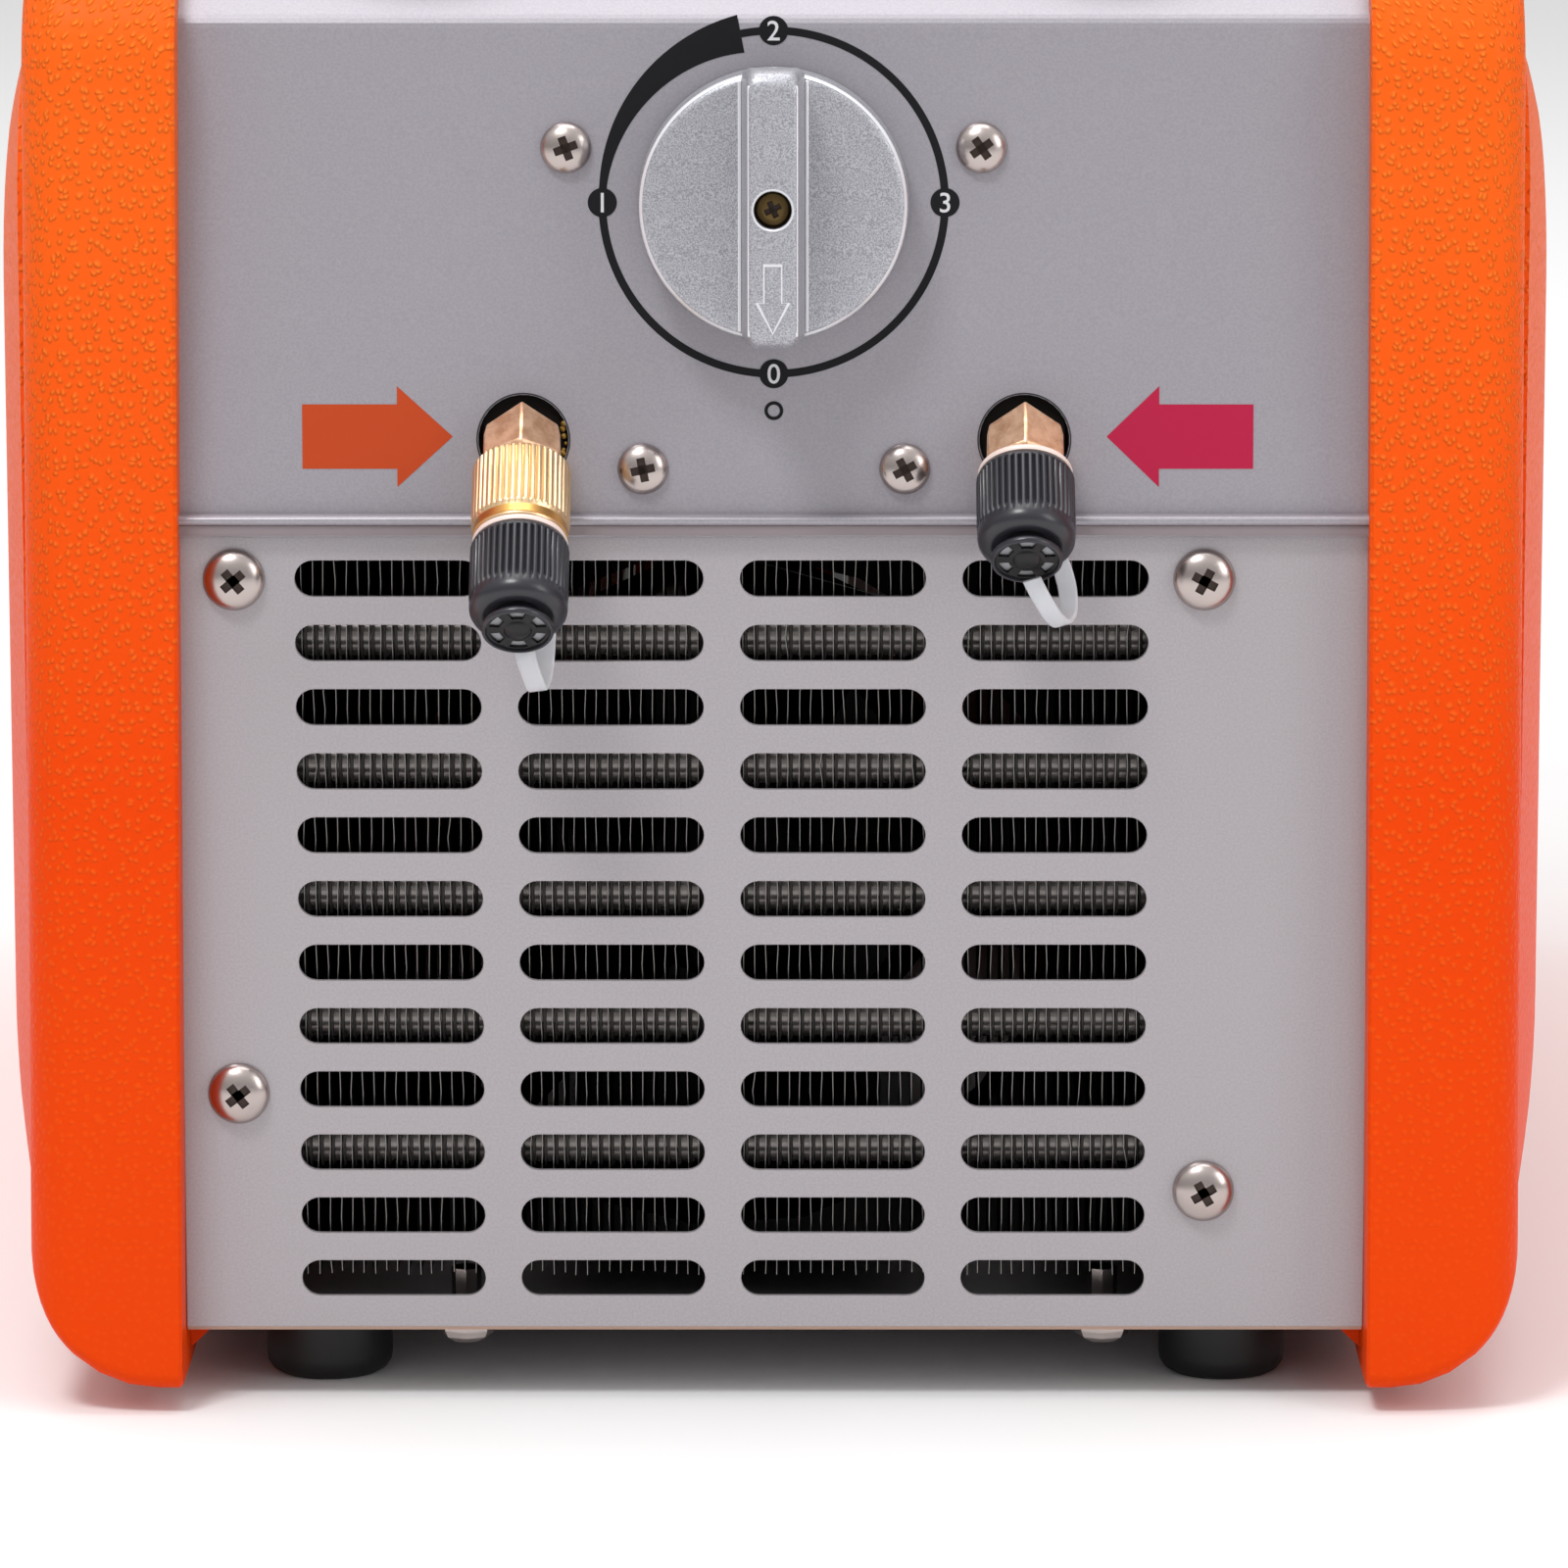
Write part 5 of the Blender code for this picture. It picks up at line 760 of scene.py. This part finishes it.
# Handle and feet
def handle():
    bar = [(0, -94.5), (10.6, -94.5), (11, -94.1), (11, 94.1), (10.6, 94.5), (0, 94.5)]
    along = at(0, HANDLE_Y, HANDLE_Z) @ ALONG_X
    piece("handle_bar_tube", lathe(bar, 64), "satin_black", along, stands_for=["handle_bar"])
    grip = [(11.2, -58), (14.0, -58), (15.2, -57.2), (15.8, -56)]
    for number in range(28):
        start = -54.5 + 3.9 * number
        grip += [(15.8, start), (15.2, start + 0.5), (15.2, start + 1.0), (15.8, start + 1.5)]
    grip += [(15.8, 56), (15.2, 57.2), (14.0, 58), (11.2, 58)]
    piece("handle_grip_sleeve", lathe(grip, 64, hollow=True), "rubber", along, stands_for=["handle_grip"])
    head = [(0, 5.5), (3.2, 5.5), (3.6, 5.2), (6.6, 5.0), (7, 4.6), (7, 0), (0, 0)]
    for side, name in ((-1, "left"), (1, "right")):
        turn = at(side * 112.0, HANDLE_Y, HANDLE_Z) @ turn_y(90 * side)
        node = f"handle_bolt_{name}"
        bolt = piece(f"{node}_head", lathe(head, 48), "nickel", stands_for=[node])
        carve(bolt, prism(circle(3.2, 6), 2.0, 7.0))
        bolt.data.transform(turn)


def feet():
    profile = [(0, 10.5), (10.3, 10.5), (10.3, 3.2), (10.1, 1.8), (9.4, 0.7), (8.2, 0.0)]
    profile += [(5.2, 0.0), (4.6, 0.4), (4.5, 4.6), (0, 4.6)]
    for side_x, across in (("left", -73), ("right", 73)):
        for side_y, along in (("front", -158), ("rear", 178)):
            name = f"foot_{side_y}_{side_x}"
            foot = lathe(profile, 72)
            piece(f"{name}_rubber", foot, "rubber", at(across, along, 0), stands_for=[name], sharp=60)


# Sheet-metal faces
def grille():
    """The slotted front with smooth punched edges, and its folded flanges."""
    half, low, high, flange = BODY_HALF, 12.2, 141.67, 13.4
    outlines = [[(-half, low), (half, low), (half, high), (-half, high)]]
    for row in range(SLOT_ROWS):
        for across in SLOT_X:
            outlines.append(slot_outline(across, SLOT_TOP - row * SLOT_PITCH))
    face = plate(outlines, -SHEET, 0, 0.18)
    piece("grille_face", face, "painted_sheet", ON_FRONT, stands_for=["front_grille"], sharp=20)
    flanges = [
        block((-half, flange, -12), (SHEET - half, high, -SHEET)),
        block((half - SHEET, flange, -12), (half, high, -SHEET)),
        block((-82, low, -34), (82, flange, -SHEET)),
    ]
    piece("grille_flanges", merged(flanges), "painted_sheet", ON_FRONT)
    piece("grille_hem", block((-94.5, 11.75, -1.1), (94.5, 12.25, -0.05)), "sheet_edge", ON_FRONT)


def panel_lip_shadow():
    """The rolled lip over the joint of the two sheets, with a darker strip under it as painted shadow."""
    lip = [(-181.6, 144.4), (-182.1, 144.3), (-182.5, 143.9), (-182.6, 143.5)]
    lip += [(-182.4, 143.0), (-181.6, 142.7)]
    piece("panel_lip", side_prism(lip, -BODY_HALF, BODY_HALF), "panel_paint", sharp=60)
    # Painted shadow: a grey strip under the lip, where the lip's shade falls.
    painted_lip_shadow = block((-BODY_HALF, -182.0, 141.2), (BODY_HALF, -181.6, 142.8))
    soften(piece("panel_lip_shadow", painted_lip_shadow, "painted_lip_shadow"), 0.12)


def port_surrounds():
    """A dark rim inside each port hole, with a little sealant beside the inlet."""
    for side, x in (("inlet", -PORT_X), ("outlet", PORT_X)):
        rim = lathe([(7.0, -1.5), (7.2, 0.02), (7.45, 0.03), (7.45, -1.5)], 64, hollow=True)
        piece(f"{side}_hole_rim", rim, "steel_dark", on_panel(x, PORT_HOLE_Z))
    draw = random.Random(11)
    lumps = []
    for number in range(16):
        angle = math.radians(draw.uniform(-52, 22))
        reach = draw.uniform(6.1, 6.9)
        lump = bmesh.new()
        bmesh.ops.create_icosphere(lump, subdivisions=1, radius=draw.uniform(0.35, 0.62) * MM)
        place = at(reach * math.cos(angle), reach * math.sin(angle), draw.uniform(-1.0, -0.2))
        lumps.append(moved(lump, place))
    piece("inlet_sealant", merged(lumps), "sealant", on_panel(-PORT_X, PORT_HOLE_Z), sharp=80)


# Screws
def phillips(width, low, high, taper=0.75):
    """A cross of two blades, wide at the top and narrower at the bottom."""
    half, arm = 0.5 * width, 0.17 * width
    blades = []
    for spin in (0, 90):
        outline = [(-half, -arm), (half, -arm), (half, arm), (-half, arm)]
        rings = []
        for level, scale in ((low, taper), (high, 1.0)):
            rings.append([(x * scale, y * scale, level) for x, y in outline])
        blades.append(moved(loft(rings), turn_z(spin)))
    return blades


def screw(name, size, matrix, cross=1.0):
    """A domed head with a cross recess, which a dark inner cross lines as painted shade."""
    radius, height = size
    crown = [(0, height)]
    for angle in range(12, 91, 6):
        share = math.radians(angle)
        crown.append((radius * math.sin(share), height * (0.12 + 0.88 * math.cos(share))))
    crown += [(0.985 * radius, 0), (0, 0)]
    made = piece(name, lathe(crown, 64), "nickel", stands_for=[name])
    width = 0.95 * cross * radius
    for blade in phillips(width, 0.3 * height, 1.4 * height):
        carve(made, blade)
    made.data.transform(matrix)
    # Painted shade: a dark cross set into the recess.
    inner = merged(phillips(0.97 * width, 0.25 * height, 0.72 * height, 0.9))
    piece(f"{name}_recess", inner, "recess_painted_shade", matrix)


def screws():
    for number, ((x, z), spin) in enumerate(zip(PANEL_SCREWS, (20, 35, 12, 28)), 1):
        screw(f"panel_screw_{number}", (4.05, 2.5), on_panel(x, z) @ turn_z(spin), 1.12)
    for number, ((x, z), spin) in enumerate(zip(GRILLE_SCREWS, (40, 62, 38, 30)), 1):
        screw(f"grille_screw_{number}", (4.95, 3.0), ON_FRONT @ at(x, z, 0) @ turn_z(spin))


# Selector
def knob():
    disc = [(0, 11), (19.6, 11), (20.3, 10.85), (20.85, 10.4), (21.15, 9.7), (21.4, 0.8), (0, 0.8)]
    piece("selector_knob_disc", lathe(disc, 128), "knob_silver", ON_PANEL, "selector", ["selector_knob"])
    # Painted highlight: a lighter ring along the rounded edge of the disc.
    edge = [(20.5, 10.78), (20.8, 10.52), (20.97, 10.28), (20.8, 10.25), (20.45, 10.5)]
    piece("selector_knob_edge", lathe(edge, 128, hollow=True), "knob_painted_highlight", ON_PANEL, "selector")
    half_length = 21.5
    levels = [(9.0, 0, 10.1), (11.0, 0, 9.9), (21.6, 0, 8.1), (22.6, 0.3, 7.95)]
    levels += [(23.3, 0.9, 7.7), (23.8, 1.8, 7.2), (24.0, 2.9, 6.4)]
    rings = []
    for level, inset, width in levels:
        outline = rounded_box(width, 2 * (half_length - inset), 1.7, 6)
        rings.append([(x, y, level) for x, y in outline])
    bar = piece("selector_knob_bar", loft(rings), "knob_silver", ON_PANEL, "selector")
    carve(bar, lathe([(0, 26), (3, 26), (3, 19), (0, 19)], 48), ON_PANEL)
    # The arrow outline takes the same lighter painted-highlight colour.
    arrow = plate([arrow_outline(1.5, 2.75, 5.0, 11.0), arrow_outline(1.25, 2.2, 4.45, 10.1)], 23.9, 24.06)
    piece("selector_arrow", arrow, "knob_painted_highlight", ON_PANEL @ at(0, -13.8, 0), "selector")
    # Painted highlights: lighter strips along the fillets at the bar's foot and along its top edges.
    for side, end in ((-1, "low"), (1, "high")):
        fillet = block((side * 5.25 - 0.28, -19.6, 10.9), (side * 5.25 + 0.28, 19.6, 11.28))
        soften(piece(f"selector_fillet_{end}", fillet, "knob_painted_highlight", ON_PANEL, "selector"), 0.14)
        lip = block((side * 3.72 - 0.2, -19.6, 23.1), (side * 3.72 + 0.2, 19.2, 23.6))
        soften(piece(f"selector_lip_{end}", lip, "knob_painted_highlight", ON_PANEL, "selector"), 0.12)
    # Painted highlight: a lighter ring round the mouth of the screw bore.
    bore = lathe([(2.95, 23.9), (3.12, 24.06), (3.3, 24.02), (3.3, 23.8)], 64, hollow=True)
    piece("selector_bore_rim", bore, "knob_painted_highlight", ON_PANEL, "selector")
    nub = lathe([(0, 1.3), (0.8, 1.2), (1.3, 0.7), (1.5, 0), (0, 0)], 24)
    piece("selector_knob_nub", nub, "knob_silver", ON_PANEL @ at(0, 20.2, 11), "selector")
    head = lathe([(0, 1.6), (1.6, 1.6), (2.4, 1.4), (2.8, 0.9), (2.95, 0), (0, 0)], 40)
    made = piece("knob_screw_head", head, "dark_brass", None, "selector", ["knob_screw"])
    place = ON_PANEL @ at(0, 0, 19.2) @ turn_z(25)
    for blade in phillips(3.0, 0.5, 2.4):
        carve(made, blade)
    made.data.transform(place)
    # Painted shade in the knob screw's cross recess.
    piece("knob_screw_recess", merged(phillips(2.9, 0.4, 1.0)), "recess_painted_shade", place, "selector")


def arrow_outline(half_body, half_head, head_length, length):
    """An arrow along -Y, centred on its length."""
    top = 0.5 * length
    neck = head_length - 0.5 * length
    right = [(half_head, neck), (half_body, neck), (half_body, top)]
    return [(0, -top)] + right + [(-x, y) for x, y in reversed(right)]


def dial_print():
    """The printed ring, its wedge, the four numbered dots, a rest mark and the two flow arrows."""
    radius, half = 27.0, 0.62
    ring = plate([circle(radius + half, 160), circle(radius - half, 160)], 0.02, 0.06)
    piece("dial_ring", ring, "print_black", ON_PANEL)
    outer, inner = [], []
    for step in range(41):
        angle = 174 - 73 * step / 40
        swell = half + 2.4 * (step / 40) ** 1.15
        outer.append(arc(radius + swell, angle, angle, 1)[0])
        inner.append(arc(radius - swell, angle, angle, 1)[0])
    piece("dial_wedge", prism(outer + inner[::-1], 0.02, 0.07), "print_black", ON_PANEL)
    for label, angle in (("0", 270), ("1", 180), ("2", 90), ("3", 0)):
        way = math.radians(angle)
        x, y = radius * math.cos(way), radius * math.sin(way)
        piece(f"dial_dot_{label}", prism(circle(2.3, 48), 0.02, 0.09), "print_black", ON_PANEL @ at(x, y, 0))
        digit = lettering(label, 3.1, 0.04, 0.02)
        piece(f"dial_digit_{label}", digit, "print_white", ON_PANEL @ at(x, y, 0.13))
    rest = plate([circle(1.5, 40), circle(0.95, 40)], 0.02, 0.07)
    piece("dial_rest_mark", rest, "print_black", on_panel(0, 160.7))
    arrows = (("in", -50.75, -8.8, -23.8, "print_orange"), ("out", 52.6, 8.3, 23.2, "print_crimson"))
    for side, tip, neck, tail, finish in arrows:
        upper = [(neck, 8), (neck, 5.1), (tail, 5.1)]
        outline = [(0, 0)] + upper + [(x, -y) for x, y in reversed(upper)]
        piece(f"arrow_{side}", prism(outline, 0.02, 0.06), finish, on_panel(tip, 156.6))


# Ports
def nipple(name, end, root, threads, matrix, body="chassis"):
    """A flare nipple: a cone at its mouth, then a bored stem with its threads, down to the root."""
    profile = [(2.4, end + 9.5), (4.0, end + 9.5), (5.0, end + 8), (5.5, end + 7)]
    for turn in range(threads):
        level = end + 6.6 - turn
        profile += [(5.5, level), (5.1, level - 0.25), (5.1, level - 0.45), (5.5, level - 0.7)]
    profile += [(5.5, root), (2.4, root)]
    piece(name, lathe(profile, 48, hollow=True), "gold_brass", matrix, body)


def hex_fitting(name, matrix, length, node):
    """Brass hexagon, its back end cut along the panel, and the threaded nipple it carries."""
    flat = HEX_ACROSS / math.sqrt(3)
    outline = [(x, y) for y, x in circle(flat, 6)]
    rings = [[(0.94 * x, 0.94 * y, min(0.63 * (flat - y) - 2.7, 1.0)) for x, y in outline]]
    for level, scale in ((1.6, 1.0), (length - 0.7, 1.0), (length, 0.92)):
        rings.append([(x * scale, y * scale, level) for x, y in outline])
    soften(piece(name, loft(rings), "hex_brass", matrix, stands_for=[node], sharp=25), 0.3)
    nipple(f"{name}_nipple", length, length - 0.5, 6, matrix)


def raised(profile, start):
    """A profile of (radius, height, groove depth), its heights counted from a start."""
    return [(radius, start + height, depth) for radius, height, depth in profile]


def cap(name, start, matrix):
    """Closed cap: knurled skirt, smooth shoulder, neck and an end disc with six windows."""
    end = start + 16.4
    body = name
    skirt = [(5.9, 0, 0), (7.2, 0, 0), (7.55, 0.2, 0), (7.7, 0.55, 0), (7.75, 0.75, 0.1)]
    skirt += [(7.78, 0.95, 0.62), (7.78, 9.4, 0.62), (7.74, 10.2, 0.4), (7.7, 10.7, 0), (7.72, 11.6, 0)]
    skirt += [(7.6, 12.4, 0), (7.25, 13.1, 0), (6.65, 13.65, 0), (5.9, 13.95, 0), (5.2, 13.9, 0)]
    skirt += [(3.6, 13.0, 0)]
    knurled = ribbed(raised(skirt, start), 42, 10, 2.6)
    piece(f"{name}_skirt", knurled, "cap_black", matrix, body, [name], sharp=40)
    neck = [(0, end - 1.3), (3.6, end - 1.3), (3.6, start + 12.6), (0, start + 12.6)]
    piece(f"{name}_neck", lathe(neck, 40), "cap_black", matrix, body)
    # Painted light: a pale grey floor under the disc's windows stands in for the lit inside of the cap.
    floor = [(0, end - 1.25), (4.9, end - 1.25), (4.9, end - 1.05), (0, end - 1.05)]
    piece(f"{name}_well", lathe(floor, 48), "cap_painted_light", matrix, body)
    holes = []
    for number in range(6):
        middle = 60 * number + 30
        holes.append(arc(4.55, middle - 19, middle + 19, 8) + arc(2.95, middle + 16, middle - 16, 8))
    disc = plate([circle(5.45, 64)] + holes, end - 0.95, end - 0.45, 0.08)
    piece(f"{name}_disc", disc, "cap_dark", matrix, body)
    rim = [(4.95, end - 0.7), (5.1, end - 0.05), (5.3, end), (5.55, end - 0.15), (5.68, end - 0.5)]
    rim += [(5.62, end - 1.0), (5.3, end - 1.3)]
    piece(f"{name}_rim", lathe(rim, 64, hollow=True), "cap_black", matrix, body, sharp=60)
    boss = [(0, end + 0.05), (1.7, end), (2.1, end - 0.2), (2.3, end - 0.7), (0, end - 0.7)]
    piece(f"{name}_boss", lathe(boss, 40), "cap_dark", matrix, body, sharp=60)


def coupler(matrix):
    """The inlet's knurled filter coupler, its smooth band and the nipple that the cap screws on."""
    start = 6.2
    end = start + 13.7
    body = [(5.8, 0, 0), (7.25, 0, 0), (7.55, 0.25, 0), (7.75, 0.55, 0.5), (7.78, 10.6, 0.5)]
    body += [(7.78, 11.0, 0.2), (7.7, 11.35, 0), (7.3, 11.9, 0), (7.3, 13.4, 0), (7.15, 13.7, 0)]
    body += [(5.5, 13.7, 0)]
    knurled = ribbed(raised(body, start), 44, 10, 4.0)
    node = "inlet_filter_coupler"
    piece("inlet_filter_knurl", knurled, "gold_brass", matrix, "inlet_filter", [node], sharp=40)
    stripe = [(7.1, end - 1.9), (7.45, end - 1.8), (7.45, end - 0.4), (7.1, end - 0.3)]
    piece("inlet_filter_band", lathe(stripe, 64, hollow=True), "band_brass", matrix, "inlet_filter")
    nipple("inlet_filter_nipple", end, end - 0.2, 0, matrix, "inlet_filter")


def tether(name, start, matrix, path, width_along, width, bodies):
    """The white ring under a cap and its clear strap, which loops to the cap."""
    end = start + 0.9
    ring = [(5.65, start), (7.35, start), (7.5, start + 0.3), (7.5, start + 0.6), (7.35, end), (5.65, end)]
    piece(f"{name}_ring", lathe(ring, 64, hollow=True), "ring_white", matrix, bodies[0], [name])
    strap = ribbon(curve_through(path), width_along, width, 0.9)
    made = piece(f"{name}_strap", strap, "tether", body=None)
    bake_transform(made)


def ports():
    hex_fitting("inlet_hex", IN_PORT, 5.9, "inlet_elbow")
    hex_fitting("outlet_hex", OUT_PORT, 6.3, "outlet_elbow")
    coupler(IN_PORT)
    cap("inlet_cap", 21.4, IN_PORT)
    cap("outlet_cap", 7.8, OUT_PORT)
    path = [(-39.0, -203.0, 128.0), (-38.4, -203.0, 124.5), (-37.4, -202.0, 121.3), (-36.8, -199.6, 119.6)]
    path += [(-36.2, -197.0, 121.0), (-35.8, -195.4, 125.0), (-35.6, -195.0, 131.0), (-35.6, -196.5, 138.0)]
    tether("inlet_tether", 20.2, IN_PORT, path, (1, 0, 0.12), 3.2, ("inlet_filter", "inlet_cap"))
    path = [(40.4, -197.4, 136.5), (42.0, -197.0, 133.4), (43.8, -195.6, 130.4), (45.4, -192.8, 128.9)]
    path += [(46.4, -190.0, 130.2), (46.2, -188.6, 134.0), (44.8, -189.0, 138.5), (42.6, -190.0, 142.5)]
    tether("outlet_tether", 6.6, OUT_PORT, path, (0.95, -0.1, 0.3), 3.0, ("chassis", "outlet_cap"))


# Condenser
def condenser():
    """Thin fins, each bent a little its own way, on glossy tubes with collars."""
    draw = random.Random(7)
    fins = bmesh.new()
    left, right, top, pitch, half = -77.0, 60.5, 139, 1.8, 0.055
    front, back, plate_front = -176.5, -150.5, -178.5
    count = int((right - left) / pitch)
    steps = 40
    for number in range(count + 1):
        x = left + pitch * number
        lean = draw.uniform(-0.1, 0.1)
        foot = 20.3 + draw.uniform(-0.4, 0.4)
        rows = []
        for step in range(steps + 1):
            z = foot + (top - foot) * step / steps
            shift = lean * math.sin(0.13 * step + number) + draw.uniform(-0.1, 0.1)
            if draw.random() < 0.02:
                shift += draw.uniform(-0.5, 0.5)
            row = []
            for side_x, y in ((-half, front), (half, front), (half, back), (-half, back)):
                bend = shift if y == front else 0
                row.append(fins.verts.new(((x + side_x + bend) * MM, y * MM, z * MM)))
            rows.append(row)
        for low, high in zip(rows, rows[1:]):
            for index in range(4):
                after = (index + 1) % 4
                face = fins.faces.new((low[index], low[after], high[after], high[index]))
                face.material_index = 0 if index == 0 else 1
    made = piece("condenser_fins", fins, "fin_edge", stands_for=["condenser"], sharp=20)
    # Painted shade: the fins' sides are near black, for the shade between them; only their front edges keep
    # the metal's grey.
    made.data.materials.append(FINISHES["fin_side_painted_shade"].material)
    tubes, collars, plates = [], [], []
    for number in range(5):
        turn = at(0, -170.6, SLOT_TOP - SLOT_PITCH * (1 + 2 * number)) @ ALONG_X
        tubes.append(moved(lathe([(0, -81), (3.5, -81), (3.5, 64.5), (0, 64.5)], 32), turn))
        for fin in range(count):
            x = left + pitch * fin
            profile = [(3.45, x + 0.15), (4.25, x + 0.3), (4.05, x + 0.62), (3.45, x + 0.75)]
            collars.append(moved(lathe(profile, 20, hollow=True), turn))
    piece("condenser_tubes", merged(tubes), "tube")
    piece("condenser_collars", merged(collars), "collar")
    for side, x in ((-1, -78), (1, 61.5)):
        inner, tip = sorted((x, x + side * 1.2)), sorted((x, x + side * 14))
        plates.append(block((inner[0], plate_front, 18), (inner[1], back, top)))
        plates.append(block((tip[0], plate_front, 18), (tip[1], plate_front + SHEET, top)))
    piece("condenser_plates", merged(plates), "aluminium")


# Gauges, switch and rear fittings
def gauge(prefix, x, labels, bands):
    """Bezel, printed dial, domed hub and pointer for one gauge."""
    place = on_slope(x)
    case = [(0, -24), (28.0, -24), (28.7, -23.3), (28.7, 0.05), (31.0, 0.05), (31.0, 5.6), (30.4, 6.9)]
    case += [(29.2, 7.5), (28.0, 7.3), (27.6, 6.6), (27.6, 5.2), (26.0, -3.8), (0, -3.8)]
    piece(f"{prefix}_case_rim", lathe(case, 96), "satin_black", place, stands_for=[f"{prefix}_gauge_case"])
    dial = lathe([(0, -3.5), (25.9, -3.5), (25.9, -2.9), (0, -2.9)], 96)
    piece(f"{prefix}_dial_card", dial, "dial_white", place, stands_for=[f"{prefix}_gauge_dial"])
    ticks = []
    for number in range(51):
        long = number % 5 == 0
        turn = turn_z(225 - 5.4 * number)
        inner = 18.6 if number % 10 == 0 else (19.6 if long else 20.6)
        half = 0.22 if long else 0.11
        ticks.append(moved(block((inner, -half, -2.88), (22.4, half, -2.84)), turn))
    ticks.append(plate([band(22.4, 0.12, 225, -45)], -2.88, -2.84))
    piece(f"{prefix}_ticks", merged(ticks), "print_black", place)
    digits = []
    for number, label in enumerate(labels):
        angle = math.radians(225 - 54 * number)
        spot = at(15.4 * math.cos(angle), 15.4 * math.sin(angle), -2.86)
        digits.append(moved(lettering(label, 2.6, 0.04), spot))
    piece(f"{prefix}_digits", merged(digits), "print_black", place)
    for number, (start, end, finish) in enumerate(bands):
        stripe = plate([band(23.6, 0.7, start, end)], -2.88, -2.85)
        piece(f"{prefix}_band_{number}", stripe, finish, place)
    body = f"{prefix}_needle"
    pointer = [(-0.5, 20), (0.5, 20), (0.9, 0), (1.3, -6), (-1.3, -6), (-0.9, 0)]
    hub = lathe([(0, -0.6), (1.8, -0.7), (2.4, -1.4), (2.4, -2.6), (0, -2.6)], 40)
    needle = merged([prism(pointer, -1.9, -1.4), hub])
    piece(f"{prefix}_pointer", needle, "print_red", place @ turn_z(135), body, [f"{prefix}_gauge_needle"])
    glass = [(0, 6.6), (14, 6.4), (24, 5.9), (27.4, 5.3), (27.4, 4.9), (24, 5.2), (14, 5.7), (0, 5.9)]
    piece(f"{prefix}_glass", lathe(glass, 96), "lens", place, stands_for=[f"{prefix}_gauge_lens"], sharp=60)


def switch():
    """Rocker with a raised bar and ring, the generic marks for on and off."""
    nodes["power_switch_body"].data.shade_flat()
    place = on_slope(0) @ turn_x(10)
    ring = plate([circle(2.2, 40), circle(1.6, 40)], 4.45, 4.6)
    piece("rocker_ring", ring, "print_white", place @ at(0, -5.4, 0), "power_rocker")
    bar = block((-0.3, -2.0, 4.45), (0.3, 2.0, 4.6))
    piece("rocker_bar", bar, "print_white", place @ at(0, 5.4, 0), "power_rocker")


def power_pins():
    pins = []
    for x, y in ((-5, -1.5), (5, -1.5), (0, 3.0)):
        pins.append(block((x - 1.0, y - 2.6, -15.5), (x + 1.0, y + 2.6, -3.5)))
    piece("power_pins", merged(pins), "pin_steel", ON_REAR @ at(55, 56, 0))


def dress():
    """CAD nodes that keep their shape take a finish."""
    finishes = {
        "painted_sheet": ("base_pan", "rear_cover"),
        "panel_paint": ("control_panel",),
        "block_painted_shade": ("valve_block",),
        "hex_brass": ("valve_stem",),
        "satin_black": ("power_switch_body", "power_inlet", "breaker_body", "fan_shroud", "fan_rotor"),
        "red_plastic": ("power_switch_rocker", "breaker_button"),
        "nickel": ("breaker_nut", "base_screw_1", "base_screw_2"),
        "steel_dark": ("motor", "machine_bracket"),
        "aluminium": ("compressor", "capacitor"),
        "copper": ("suction_pipe", "discharge_pipe", "condenser_pipe"),
    }
    for finish, names in finishes.items():
        for name in names:
            data = nodes[name].data
            data.materials.clear()
            data.materials.append(FINISHES[finish].material)
            shade(data)


def main():
    bpy.context.scene.view_settings.view_transform = "Standard"
    camera()
    studio()
    dress()
    side_cover(-1, "side_cover_left")
    side_cover(1, "side_cover_right")
    handle()
    feet()
    grille()
    panel_lip_shadow()
    port_surrounds()
    screws()
    knob()
    dial_print()
    ports()
    condenser()
    low_bands = [(225, 60, "print_green"), (60, -45, "print_red")]
    gauge("low", -55, ("0", "2", "4", "6", "8", "10"), low_bands)
    high_bands = [(225, 20, "print_green"), (20, -45, "print_red")]
    gauge("high", 55, ("0", "10", "20", "30", "40", "50"), high_bands)
    switch()
    power_pins()


main()
